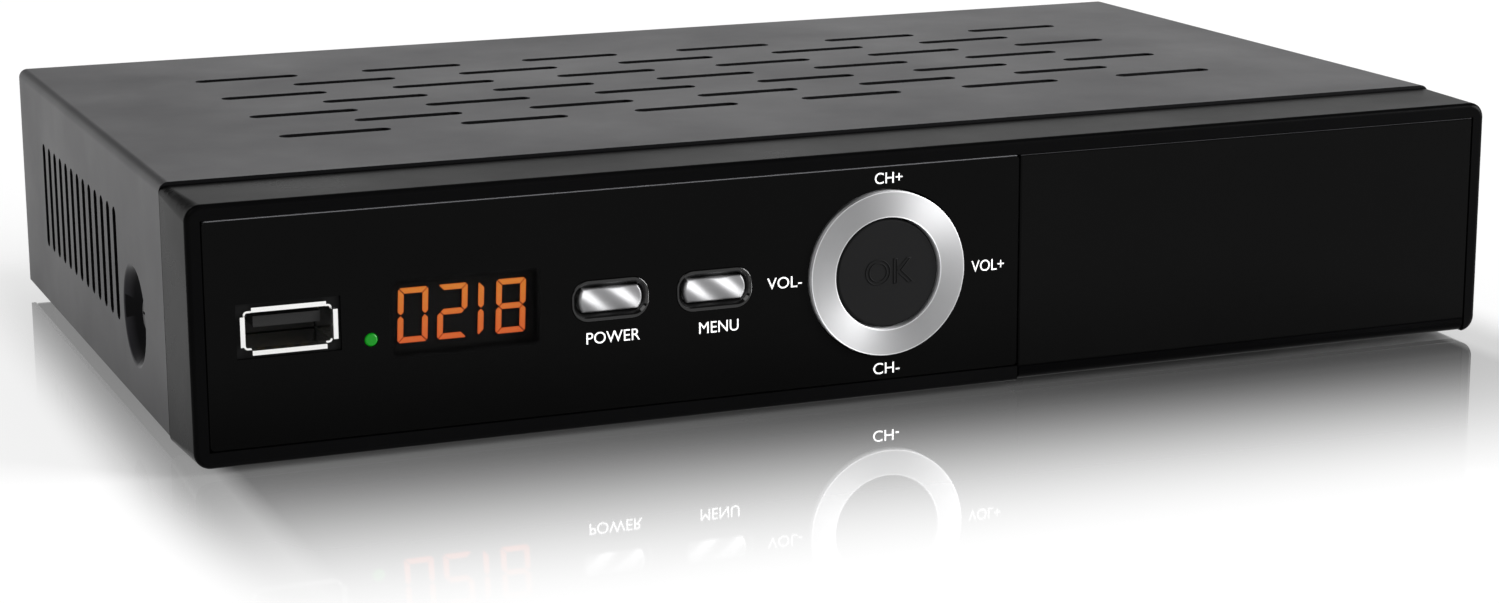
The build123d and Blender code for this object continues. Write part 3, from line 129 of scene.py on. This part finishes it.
# in the shade under the receiver the table has only the light that reaches it
shaded = maths(
    tree, "MULTIPLY", ramp(tree, from_side, shade_side, shade_side_full),
    ramp(tree, from_end, shade_end, shade_end_full),
)
paths, seen = looked_at(tree)
unshaded = maths(tree, "SUBTRACT", seen, maths(tree, "MULTIPLY", seen, shaded))
self_lit = maths(tree, "MULTIPLY", unshaded, glow_share)
dull = wire(tree, "ShaderNodeBsdfDiffuse", [("Color", table_white), ("Roughness", table_roughness)])
lit = wire(tree, "ShaderNodeEmission", [("Color", (1, 1, 1, 1)), ("Strength", glow_strength)])
mirror = wire(tree, "ShaderNodeBsdfGlossy", [("Color", (1, 1, 1, 1)), ("Roughness", mirror_roughness)])
white = wire(tree, "ShaderNodeMixShader", [(0, self_lit), (1, dull.outputs[0]), (2, lit.outputs[0])])
top = wire(tree, "ShaderNodeMixShader", [(0, polish), (1, white.outputs[0]), (2, mirror.outputs[0])])
wire(tree, "ShaderNodeOutputMaterial", [("Surface", top.outputs[0])])
table.data.materials.append(table_finish)

# ---------------------------------------------------------------- daylight and lamps
# A white room, which glossy surfaces mirror bright at the horizon and dim overhead. In it
# stand a strong low soft box on the right and two weak ones, on the left and behind.
room_light = 0.45
horizon, overhead = 1.1, 0.05
horizon_ends, overhead_starts = 0.16, 0.30
daylight = bpy.data.worlds.new("studio_white")
bpy.context.scene.world = daylight
daylight.use_nodes = True
tree = daylight.node_tree
tree.nodes.clear()
paths, seen = looked_at(tree)
upwards = wire(
    tree, "ShaderNodeSeparateXYZ", [(0, wire(tree, "ShaderNodeTexCoord").outputs["Generated"])]
).outputs[2]
ceiling = ramp(tree, upwards, horizon_ends, overhead_starts, horizon, overhead, smooth=True)
mirrored = wire(tree, "ShaderNodeMix", [(0, paths["Is Glossy Ray"]), (2, 1.0), (3, ceiling)]).outputs[0]
level = wire(tree, "ShaderNodeMix", [(0, seen), (2, room_light), (3, mirrored)]).outputs[0]
sky = wire(tree, "ShaderNodeBackground", [("Color", (1, 1, 1, 1)), ("Strength", level)])
wire(tree, "ShaderNodeOutputWorld", [("Surface", sky.outputs[0])])

# name, place in metres, turn in degrees, side in metres, power in watts
for lamp_name, spot, turn, side, power in (
    ("left_softbox", (-1.0, -0.5, 1.1), (46, 0, -62), 0.9, 6.0),
    ("right_softbox", (1.40, -0.81, 0.525), (72, 0, 60), 0.9, 66.0),
    ("rear_softbox", (0.6, 1.2, 0.9), (-54, 0, -26), 1.0, 2.0),
):
    softbox = bpy.data.lights.new(lamp_name, "AREA")
    softbox.size = side
    softbox.energy = power
    lamp = bpy.data.objects.new(lamp_name, softbox)
    lamp.location = spot
    lamp.rotation_euler = [math.radians(angle) for angle in turn]
    bpy.context.scene.collection.objects.link(lamp)

# ---------------------------------------------------------------- camera
# Standing left of the middle and a little above, with a long lens.
azimuth, elevation, roll = -0.38925, 0.22871, -0.00438
viewer = bpy.data.cameras.new("viewer")
viewer.sensor_fit = "HORIZONTAL"
viewer.sensor_width = 36.0
viewer.lens = 77.44
viewer.clip_start = 0.01
eye = bpy.data.objects.new("viewer", viewer)
eye.location = (-0.20617, -0.51768, 0.13060)
eye.rotation_mode = "QUATERNION"
eye.rotation_quaternion = (
    Euler((math.pi / 2 - elevation, 0, azimuth), "XYZ").to_quaternion()
    @ Euler((0, 0, roll), "XYZ").to_quaternion()
)
bpy.context.scene.collection.objects.link(eye)
bpy.context.scene.camera = eye
bpy.context.scene.view_settings.view_transform = "Standard"

# ---------------------------------------------------------------- top cover and rear panel
# One folded sheet of steel for the top and both sides, and a flat one for the rear, both
# powder-coated satin black. The coat has a fine orange peel and rubs thin along the folds.
def effect(name, sockets_in, sockets_out):
    """An empty node group with the named inputs and outputs, and its two end nodes."""
    group = bpy.data.node_groups.new(name, "ShaderNodeTree")
    for socket, kind, value in sockets_in:
        made = group.interface.new_socket(name=socket, in_out="INPUT", socket_type=kind)
        made.default_value = value
    for socket, kind in sockets_out:
        group.interface.new_socket(name=socket, in_out="OUTPUT", socket_type=kind)
    return group, group.nodes.new("NodeGroupInput"), group.nodes.new("NodeGroupOutput")


# grain: a fine height for bump and a broad tone for colour and gloss, both from 0 to 1
broad_scale = 28.0
grain_group, given, result = effect(
    "surface_grain",
    [("Fineness", "NodeSocketFloat", 2500.0), ("Stretch", "NodeSocketVector", (1, 1, 1))],
    [("Height", "NodeSocketFloat"), ("Tone", "NodeSocketFloat")],
)
place = wire(grain_group, "ShaderNodeTexCoord").outputs["Object"]
pulled = wire(
    grain_group, "ShaderNodeVectorMath", [(0, place), (1, given.outputs["Stretch"])], operation="MULTIPLY"
)
fine = wire(
    grain_group, "ShaderNodeTexNoise",
    [("Vector", pulled.outputs[0]), ("Scale", given.outputs["Fineness"]), ("Detail", 4.0),
     ("Roughness", 0.55)],
)
broad = wire(
    grain_group, "ShaderNodeTexNoise",
    [("Vector", place), ("Scale", broad_scale), ("Detail", 5.0), ("Roughness", 0.6)],
)
grain_group.links.new(fine.outputs["Fac"], result.inputs["Height"])
grain_group.links.new(broad.outputs["Fac"], result.inputs["Tone"])


def bend(tree, reach, samples=6):
    """1 on the flat, and less where a normal rounded over this reach leaves the true one."""
    rounded = wire(tree, "ShaderNodeBevel", [("Radius", reach)], samples=samples).outputs[0]
    true = wire(tree, "ShaderNodeNewGeometry").outputs["Normal"]
    return wire(
        tree, "ShaderNodeVectorMath", [(0, rounded), (1, true)], operation="DOT_PRODUCT"
    ).outputs["Value"]


# wear: a mask that is 1 on worn edges, broken up into patches
wear_gain = 6.0
patch_scale = 350.0
patch_starts, patch_full = 0.42, 0.66
wear_group, given, result = effect(
    "edge_wear",
    [("Reach", "NodeSocketFloat", 0.0004), ("Amount", "NodeSocketFloat", 0.5)],
    [("Mask", "NodeSocketFloat")],
)
bent = maths(wear_group, "SUBTRACT", 1.0, bend(wear_group, given.outputs["Reach"]))
edge = maths(wear_group, "MULTIPLY", bent, wear_gain, clamp=True)
place = wire(wear_group, "ShaderNodeTexCoord").outputs["Object"]
patch = wire(
    wear_group, "ShaderNodeTexNoise", [("Vector", place), ("Scale", patch_scale), ("Detail", 3.0)]
)
broken = ramp(wear_group, patch.outputs["Fac"], patch_starts, patch_full)
rubbed = maths(wear_group, "MULTIPLY", edge, broken)
wear_group.links.new(maths(wear_group, "MULTIPLY", rubbed, given.outputs["Amount"]), result.inputs["Mask"])


def blend(tree, mask, first, second):
    """The first colour where the mask is 0 and the second where it is 1."""
    return wire(
        tree, "ShaderNodeMix", [(0, mask), (6, first), (7, second)], data_type="RGBA"
    ).outputs[2]


def finish(
    name, colour, second, roughness, metallic=0.0, fineness=2500.0, stretch=(1, 1, 1), bump=0.1,
    depth=0.00002, gloss_change=0.08, wear=0.0, worn=(0.3, 0.3, 0.3), specular=0.5,
):
    """A material between two close colours, with a fine grain and, where asked, worn edges."""
    made = bpy.data.materials.new(name)
    made.use_nodes = True
    tree = made.node_tree
    shader = tree.nodes["Principled BSDF"]
    shader.inputs["Metallic"].default_value = metallic
    shader.inputs["Specular IOR Level"].default_value = specular
    grain = wire(tree, "ShaderNodeGroup", [], node_tree=grain_group)
    grain.inputs["Fineness"].default_value = fineness
    grain.inputs["Stretch"].default_value = stretch
    tone = grain.outputs["Tone"]
    shade = blend(tree, tone, (*colour, 1), (*second, 1))
    if wear:
        rub = wire(tree, "ShaderNodeGroup", [], node_tree=wear_group)
        rub.inputs["Amount"].default_value = wear
        shade = blend(tree, rub.outputs["Mask"], shade, (*worn, 1))
    tree.links.new(shade, shader.inputs["Base Color"])
    smoothest, roughest = max(roughness - gloss_change, 0.02), roughness + gloss_change
    tree.links.new(ramp(tree, tone, 0.3, 0.7, smoothest, roughest), shader.inputs["Roughness"])
    raised = wire(
        tree, "ShaderNodeBump",
        [("Height", grain.outputs["Height"]), ("Strength", bump), ("Distance", depth)],
    )
    tree.links.new(raised.outputs[0], shader.inputs["Normal"])
    return made


def change(tree, socket, mask, value):
    """Where the mask is 1, a linked input of the shader takes this colour or number instead."""
    target = tree.nodes["Principled BSDF"].inputs[socket]
    before = target.links[0].from_socket
    if isinstance(value, tuple):
        after = blend(tree, mask, before, value)
    else:
        after = wire(tree, "ShaderNodeMix", [(0, mask), (2, before), (3, value)]).outputs[0]
    tree.links.new(after, target)


def dress(material, *nodes):
    """Gives CAD nodes their finish."""
    for node in nodes:
        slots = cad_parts[node].data.materials
        slots.clear()
        slots.append(material)


cool_tint = (0.94, 0.93, 1.0, 1)
powder_coat = finish(
    "satin_powder_coat", (0.011, 0.0105, 0.0125), (0.018, 0.0175, 0.020), 0.33,
    fineness=2600.0, bump=0.3, depth=0.00002, gloss_change=0.04, wear=0.15, worn=(0.10, 0.10, 0.105),
    specular=0.08,
)
powder_coat.node_tree.nodes["Principled BSDF"].inputs["Specular Tint"].default_value = cool_tint
dress(powder_coat, "rear_panel")

# The cover has the same coat, with painted shade in the slots and the side dimples: there it is painted dead
# black, and dull.
dimple_y, dimple_z, dimple_reach = -0.0327, 0.0158, 0.0078
painted_recess_shade = (0.0008, 0.0008, 0.0009, 1)
dimple_dull = 0.75
# a slot's long walls face along Y, as does the cover's rear lip
wall_facing = 0.6
lip_y = 0.0585
cover_coat = powder_coat.copy()
cover_coat.name = "cover_powder_coat"
tree = cover_coat.node_tree
x, y, z = coordinates(tree)
normal = wire(tree, "ShaderNodeNewGeometry").outputs["Normal"]
along_y = maths(tree, "ABSOLUTE", wire(tree, "ShaderNodeSeparateXYZ", [(0, normal)]).outputs[1])
slot_shade_mask = maths(
    tree, "MULTIPLY", maths(tree, "GREATER_THAN", along_y, wall_facing), maths(tree, "LESS_THAN", y, lip_y)
)
from_dimple = length(
    tree, maths(tree, "SUBTRACT", y, dimple_y), maths(tree, "SUBTRACT", z, dimple_z)
)
dimple_shade_mask = ramp(tree, from_dimple, dimple_reach, 0.8 * dimple_reach)
painted_shade_mask = maths(tree, "MAXIMUM", slot_shade_mask, dimple_shade_mask)
# painted shade: the slot walls and the dimples are painted near black
change(tree, "Base Color", painted_shade_mask, painted_recess_shade)
change(tree, "Roughness", painted_shade_mask, dimple_dull)
dress(cover_coat, "top_cover")

# ---------------------------------------------------------------- chassis tray and tuner can
# Zinc-plated steel, rolled along its length, with the rolling lines left showing.
zinc = finish(
    "zinc_plated_steel", (0.50, 0.51, 0.52), (0.62, 0.63, 0.64), 0.34, metallic=1.0,
    fineness=900.0, stretch=(0.04, 1, 1), bump=0.2, gloss_change=0.1, wear=0.5, worn=(0.75, 0.75, 0.76),
)
dress(zinc, "chassis_tray", "tuner_can")

# ---------------------------------------------------------------- rubber feet
# Round feet of black rubber, each held in the tray by a barbed stem. Their edges scuff grey.
rubber = finish(
    "black_rubber", (0.012, 0.012, 0.012), (0.022, 0.022, 0.021), 0.78,
    fineness=1800.0, bump=0.5, wear=0.4, worn=(0.06, 0.06, 0.058), specular=0.3,
)
dress(rubber, "rubber_feet")

# ---------------------------------------------------------------- moulded front and key surrounds
# Black styrene, moulded in one piece and half polished. It is a shade greyer than the window.
# The two key surrounds are polished bright and sit in the window.
moulded_black = finish(
    "front_moulding_black", (0.0012, 0.0012, 0.0013), (0.0019, 0.0019, 0.0020), 0.3,
    fineness=1600.0, bump=0.12, gloss_change=0.04, specular=0.018,
)
dress(moulded_black, "front_bezel")
surround_black = finish(
    "key_surround_black", (0.0012, 0.0012, 0.0012), (0.002, 0.002, 0.002), 0.12,
    fineness=1200.0, bump=0.03, gloss_change=0.03, specular=0.5,
)
dress(surround_black, "button_surrounds")

# ---------------------------------------------------------------- window and flap door
# Clear acrylic printed black on its back. The print is left thin in front of the display.
# The polished bevel along the top edge is painted paler: a painted highlight.
window_gloss = 0.045
bevel_low = 0.03762
bevel_rise = 0.00005
painted_bevel_highlight = (0.35, 0.35, 0.37, 1)
pane_x, pane_z = -0.06855, 0.02085
pane_half_width, pane_half_height = 0.0118, 0.0061
pane_fade = 0.0012
pane_alpha = 0.25


def window_finish(name, tint):
    """Polished black acrylic. The tint makes it a little paler."""
    return finish(
        name, (0.0008 * tint,) * 3, (0.0014 * tint,) * 3, 0.06,
        fineness=60.0, bump=0.02, depth=0.0001, gloss_change=0.03, specular=window_gloss,
    )


def paint_bevel_highlight(tree, strength):
    """Paints a highlight on the bevel: makes it paler."""
    x, y, z = coordinates(tree)
    change(tree, "Base Color", ramp(tree, z, bevel_low, bevel_low + bevel_rise, 0.0, strength), painted_bevel_highlight)


def within(tree, position, middle, half):
    """1 inside a strip about a middle line, fading to 0 at its two edges."""
    away = maths(tree, "ABSOLUTE", maths(tree, "SUBTRACT", position, middle))
    return ramp(tree, away, half, half - pane_fade, smooth=True)


lens_black = window_finish("window_gloss_black", 1.0)
tree = lens_black.node_tree
# painted highlight along the window's top bevel
paint_bevel_highlight(tree, 0.35)
x, y, z = coordinates(tree)
pane = maths(
    tree, "MULTIPLY", within(tree, x, pane_x, pane_half_width), within(tree, z, pane_z, pane_half_height)
)
tree.links.new(ramp(tree, pane, 0.0, 1.0, 1.0, pane_alpha), tree.nodes["Principled BSDF"].inputs["Alpha"])
dress(lens_black, "front_window")

# The round bead along the flap's foot is the bare moulding. It carries the dark rim on.
bead_top = 0.0035
bead_black = (0.0005, 0.0005, 0.0006, 1)
bead_roughness = 0.3
bead_gloss = 0.015
flap_black = window_finish("flap_gloss_black", 1.5)
tree = flap_black.node_tree
# painted highlight along the flap's top bevel
paint_bevel_highlight(tree, 0.15)
x, y, z = coordinates(tree)
bead = maths(tree, "LESS_THAN", z, bead_top)
change(tree, "Base Color", bead, bead_black)
change(tree, "Roughness", bead, bead_roughness)
gloss = wire(tree, "ShaderNodeMix", [(0, bead), (2, window_gloss), (3, bead_gloss)])
tree.links.new(gloss.outputs[0], tree.nodes["Principled BSDF"].inputs["Specular IOR Level"])
dress(flap_black, "flap_door")

# ---------------------------------------------------------------- four-way key ring
# A silver ring with a face turned on a lathe, which leaves fine lines round it. Its two rims
# are painted brighter, a painted highlight along the cut edges.
key_z = 0.0208
ring_middle = 0.011
rim_highlight_starts, rim_highlight_full = 0.00185, 0.00195
painted_rim_highlight = (0.6, 0.6, 0.61, 1)
line_scale, line_strength, line_depth = 9000.0, 0.25, 0.00001
# the lines stretch what the ring mirrors outwards from its middle
stretch_of_light = 0.72
quarter_turn = 0.25
turned = finish(
    "turned_aluminium", (0.32, 0.32, 0.325), (0.36, 0.36, 0.365), 0.62, metallic=1.0, bump=0.0,
    gloss_change=0.03,
)
tree = turned.node_tree
shader = tree.nodes["Principled BSDF"]
x, y, z = coordinates(tree)
from_middle = length(tree, x, maths(tree, "SUBTRACT", z, key_z))
off_centre = maths(tree, "ABSOLUTE", maths(tree, "SUBTRACT", from_middle, ring_middle))
# painted highlight: the two rims get a paler base colour
change(tree, "Base Color", ramp(tree, off_centre, rim_highlight_starts, rim_highlight_full), painted_rim_highlight)
lathe = wire(
    tree, "ShaderNodeTexNoise", [("W", from_middle), ("Scale", line_scale), ("Detail", 2.0)],
    noise_dimensions="1D",
)
lines = wire(
    tree, "ShaderNodeBump",
    [("Height", lathe.outputs["Fac"]), ("Strength", line_strength), ("Distance", line_depth)],
)
tree.links.new(lines.outputs[0], shader.inputs["Normal"])
shader.inputs["Anisotropic"].default_value = stretch_of_light
shader.inputs["Anisotropic Rotation"].default_value = quarter_turn
spin = wire(tree, "ShaderNodeTangent", direction_type="RADIAL", axis="Y")
tree.links.new(spin.outputs[0], shader.inputs["Tangent"])
dress(turned, "nav_ring")

# ---------------------------------------------------------------- OK key
# A plain matt black moulding in the middle of the ring. Its two letters stand out of the
# face as thin outlines, moulded with the key.
ok_face = -0.07185
letter_size = 0.0056
letter_line = 0.00011
letter_x, letter_z = 0.0004, 0.02105
ok_matt = finish(
    "ok_key_matt", (0.0050, 0.0050, 0.0052), (0.0068, 0.0068, 0.0070), 0.6,
    fineness=3200.0, bump=0.4, depth=0.00003, specular=0.05,
)
dress(ok_matt, "ok_button")


def lettering(name, words, **settings):
    """Upright words as a mesh that faces forwards, and the limits of its corners on each axis."""
    bpy.ops.object.select_all(action="DESELECT")
    bpy.ops.object.text_add(rotation=(math.pi / 2, 0, 0))
    made = bpy.context.object
    made.name = name
    made.data.body = words
    for key, value in settings.items():
        setattr(made.data, key, value)
    bpy.ops.object.convert(target="MESH")
    bpy.ops.object.transform_apply(location=True, rotation=True, scale=True)
    spread = [[vertex.co[axis] for vertex in made.data.vertices] for axis in range(3)]
    return made, [min(values) for values in spread], [max(values) for values in spread]


letters, least, most = lettering(
    "ok_letters", "OK", size=letter_size, fill_mode="NONE", bevel_depth=letter_line, bevel_resolution=1
)
letters.location = (
    letter_x - (least[0] + most[0]) / 2, ok_face, letter_z - (least[2] + most[2]) / 2
)
bpy.ops.object.transform_apply(location=True, rotation=True, scale=True)
letters.data.materials.clear()
letters.data.materials.append(ok_matt)
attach(letters, "ok_key")

# ---------------------------------------------------------------- power and menu key caps
# Moulded caps in satin plating. Each face carries a shallow slanting wave, which breaks the
# light into bands. The wave starts at the middle of the power key.
power_key_x = -0.0458
wave_length = 0.003644
wave_depth = 0.00046
wave_lean = math.radians(49.7)
wave_start = power_key_x * math.cos(wave_lean) + key_z * math.sin(wave_lean)
satin_plate = finish(
    "cap_satin_plate", (0.27, 0.27, 0.275), (0.29, 0.29, 0.295), 0.62, metallic=1.0, gloss_change=0.02,
)
tree = satin_plate.node_tree
x, y, z = coordinates(tree)
across = maths(
    tree, "ADD", maths(tree, "MULTIPLY", x, math.cos(wave_lean)),
    maths(tree, "MULTIPLY", z, math.sin(wave_lean)),
)
turns = maths(tree, "MULTIPLY", maths(tree, "SUBTRACT", across, wave_start), 2 * math.pi / wave_length)
swell = maths(tree, "ADD", maths(tree, "MULTIPLY", maths(tree, "SINE", turns), 0.5), 0.5)
normal = tree.nodes["Principled BSDF"].inputs["Normal"]
ripple = wire(
    tree, "ShaderNodeBump",
    [("Height", swell), ("Strength", 1.0), ("Distance", wave_depth), ("Normal", normal.links[0].from_socket)],
)
tree.links.new(ripple.outputs[0], normal)
dress(satin_plate, "power_button", "menu_button")

# ---------------------------------------------------------------- printed words on the front
# White screen print, two hundredths of a millimetre thick, on the face of the window. Each
# word is set between four limits, in plain capitals.
front_face = -0.0715
print_thick = 0.00002
merge_reach = 1e-7
print_white = finish(
    "screen_print_white", (0.80, 0.80, 0.80), (0.90, 0.90, 0.90), 0.5, fineness=4000.0, bump=0.2,
)
# name, words, and the left, right, lower and upper limits
for word_name, words, left, right, low, high in (
    ("power_word", "POWER", -0.04975, -0.04115, 0.0141, 0.0159),
    ("menu_word", "MENU", -0.0315, -0.0250, 0.0140, 0.0158),
    ("volume_down_word", "VOL-", -0.0202, -0.0144, 0.0199, 0.0217),
    ("volume_up_word", "VOL+", 0.0147, 0.0204, 0.0196, 0.0214),
    ("channel_up_word", "CH+", -0.0021, 0.0026, 0.0350, 0.03675),
    ("channel_down_word", "CH-", -0.0022, 0.0023, 0.0046, 0.0064),
):
    word, least, most = lettering(word_name, words, extrude=0.01)
    starts = (left, front_face - print_thick, low)
    sizes = (right - left, print_thick, high - low)
    word.scale = [size / (end - start) for size, start, end in zip(sizes, least, most)]
    word.location = [limit - start * scale for limit, start, scale in zip(starts, least, word.scale)]
    bpy.ops.object.transform_apply(location=True, rotation=True, scale=True)
    bpy.ops.object.mode_set(mode="EDIT")
    bpy.ops.mesh.select_all(action="SELECT")
    bpy.ops.mesh.remove_doubles(threshold=merge_reach)
    bpy.ops.object.mode_set(mode="OBJECT")
    word.data.materials.clear()
    word.data.materials.append(print_white)
    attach(word, "case")

# ---------------------------------------------------------------- data port and plated sockets
# The port is a folded shell of nickel-plated steel, its mouth flared into four lips, in a
# black moulded frame. The rear sockets have the same plating, and the contacts are gilt.
nickel = finish(
    "nickel_plate", (0.86, 0.86, 0.845), (0.95, 0.95, 0.94), 0.24, metallic=1.0, fineness=1500.0, bump=0.08,
    wear=0.3, worn=(0.9, 0.9, 0.9),
)
dress(nickel, "data_port_shell", "digital_av_shell", "coax_sockets", "coax_nuts", "av_jack_sleeves")
port_black = finish(
    "port_surround_black", (0.0022, 0.0022, 0.0023), (0.0034, 0.0034, 0.0035), 0.45, specular=0.08
)
dress(port_black, "port_surround")
gold = finish("gold_flash", (0.80, 0.58, 0.25), (0.88, 0.68, 0.33), 0.25, metallic=1.0, bump=0.05)
dress(gold, "data_port_contacts", "inlet_pins")

# ---------------------------------------------------------------- inner mouldings
# Black plastic as it comes from the mould, behind the front and in the sockets. The chips
# and the fuse have the same dull black.
inner_black = finish(
    "inner_black_moulding", (0.006, 0.006, 0.006), (0.011, 0.011, 0.011), 0.5,
    fineness=2200.0, bump=0.25, specular=0.2,
)
dress(
    inner_black, "bay_frame", "data_port_tongue", "key_hub", "nav_pivot", "tact_switches",
    "power_plunger", "menu_plunger", "ok_plunger", "card_reader", "av_jack_block", "mains_inlet",
    "digital_av_tongue", "ir_receiver", "mains_fuse", "board_chips", "main_chip",
)

# ---------------------------------------------------------------- lamp and display
# The lamp's light pipe glows green. The bars of the display glow orange, yellower at the top,
# and fall off to a deeper red along their rims.
lamp_glow = (0.0, 0.16, 0.002, 1)
lamp_green = finish("lamp_green", (0.002, 0.05, 0.004), (0.003, 0.07, 0.006), 0.3, bump=0.05, specular=0.2)
shader = lamp_green.node_tree.nodes["Principled BSDF"]
shader.inputs["Emission Color"].default_value = lamp_glow
shader.inputs["Emission Strength"].default_value = 1.0
dress(lamp_green, "led_light_pipe", "status_led")

digit_low, digit_high = 0.0167, 0.0250
low_glow, high_glow, rim_glow = (0.95, 0.17, 0.035, 1), (1.0, 0.31, 0.035, 1), (0.75, 0.05, 0.0, 1)
rim_reach = 0.00022
rim_flat, rim_bent, rim_share = 0.995, 0.80, 0.85
bar_orange = finish("display_bar_orange", (0.06, 0.015, 0.002), (0.09, 0.02, 0.003), 0.4, bump=0.05)
tree = bar_orange.node_tree
shader = tree.nodes["Principled BSDF"]
x, y, z = coordinates(tree)
glow = blend(tree, ramp(tree, z, digit_low, digit_high), low_glow, high_glow)
rim = ramp(tree, bend(tree, rim_reach), rim_flat, rim_bent, 0.0, rim_share)
tree.links.new(blend(tree, rim, glow, rim_glow), shader.inputs["Emission Color"])
shader.inputs["Emission Strength"].default_value = 1.0
dress(bar_orange, "display_digits")
display_face = finish(
    "display_face_black", (0.0052, 0.0050, 0.0050), (0.0060, 0.0058, 0.0058), 0.6, specular=0.08
)
dress(display_face, "display_module")

# ---------------------------------------------------------------- screws and standoffs
# Zinc-plated steel inside and blackened steel on the outside. The heads rub bright where
# the driver turns them.
zinc_bright = finish(
    "zinc_screw", (0.55, 0.56, 0.58), (0.70, 0.71, 0.73), 0.3, metallic=1.0, fineness=1400.0, bump=0.15,
    wear=0.6, worn=(0.85, 0.85, 0.86),
)
dress(zinc_bright, "inner_screws", "board_standoffs")
oxide = finish(
    "black_oxide_screw", (0.004, 0.004, 0.0045), (0.009, 0.009, 0.010), 0.28, fineness=1400.0, bump=0.2,
    wear=0.35, worn=(0.12, 0.12, 0.125), specular=0.4,
)
dress(oxide, "cover_screws")

# ---------------------------------------------------------------- circuit boards
# Glass fibre under a green solder mask. The copper tracks show through paler, in two
# directions, and the pads are tinned.
track_green = (0.03, 0.20, 0.06, 1)
track_share = 0.6
tin = (0.55, 0.54, 0.50, 1)
lane_scale, cross_lane_scale = 90.0, 140.0
lane_length, lane_pitch, lane_gap, lane_offset = 1.9, 0.16, 0.035, 0.37
pad_scale, pad_radius, pad_spread = 320.0, 0.16, 0.6
solder_mask = finish(
    "green_solder_mask", (0.010, 0.070, 0.022), (0.014, 0.095, 0.03), 0.3, fineness=700.0, bump=0.15,
)
tree = solder_mask.node_tree
place = wire(tree, "ShaderNodeTexCoord").outputs["Object"]
quarter_turned = wire(
    tree, "ShaderNodeVectorRotate", [(0, place), ("Angle", math.pi / 2)], rotation_type="Z_AXIS"
).outputs[0]
lanes = [
    wire(
        tree, "ShaderNodeTexBrick",
        [("Vector", source), ("Scale", scale), ("Mortar Size", lane_gap), ("Brick Width", lane_length),
         ("Row Height", lane_pitch)],
        offset=lane_offset,
    ).outputs["Fac"]
    for source, scale in ((place, lane_scale), (quarter_turned, cross_lane_scale))
]
tracks = maths(tree, "MULTIPLY", maths(tree, "MAXIMUM", *lanes), track_share)
change(tree, "Base Color", tracks, track_green)
spots = wire(
    tree, "ShaderNodeTexVoronoi", [("Vector", place), ("Scale", pad_scale), ("Randomness", pad_spread)],
    feature="F1",
)
pads = maths(tree, "LESS_THAN", spots.outputs["Distance"], pad_radius)
change(tree, "Base Color", pads, tin)
tree.links.new(pads, tree.nodes["Principled BSDF"].inputs["Metallic"])
dress(solder_mask, "front_board", "main_board", "power_board")

# ---------------------------------------------------------------- sockets, parts and cables inside
# White nylon for the plugs, the insulators and the flat cable, and the usual yellow and red
# for the jacks. Extruded aluminium heatsinks, sleeved capacitors and a taped transformer.
white_moulding = finish("white_moulding", (0.70, 0.69, 0.66), (0.80, 0.79, 0.76), 0.45, bump=0.1)
dress(white_moulding, "coax_insulators", "white_jack_insert", "board_connectors", "ribbon_cable")
yellow = finish("jack_yellow", (0.80, 0.55, 0.02), (0.88, 0.62, 0.03), 0.35, bump=0.1)
dress(yellow, "yellow_jack_insert")
red = finish("jack_red", (0.55, 0.02, 0.015), (0.65, 0.03, 0.02), 0.35, bump=0.1)
dress(red, "red_jack_insert")
extruded = finish(
    "sink_aluminium", (0.5, 0.5, 0.52), (0.62, 0.62, 0.64), 0.4, metallic=1.0, stretch=(0.05, 1, 1), bump=0.2
)
dress(extruded, "chip_heatsink", "power_heatsink")
sleeve = finish("capacitor_sleeve", (0.012, 0.014, 0.03), (0.02, 0.022, 0.045), 0.3, bump=0.1)
dress(sleeve, "board_capacitors", "bulk_capacitor")
ferrite = finish("ferrite", (0.03, 0.03, 0.032), (0.05, 0.05, 0.05), 0.55, bump=0.4, wear=0.5)
dress(ferrite, "transformer_core")
tape = finish("winding_tape", (0.70, 0.50, 0.06), (0.80, 0.60, 0.10), 0.35, bump=0.2)
dress(tape, "transformer_winding")
red_sleeve = finish("wire_red", (0.40, 0.02, 0.015), (0.5, 0.03, 0.02), 0.4, bump=0.1)
dress(red_sleeve, "power_harness")
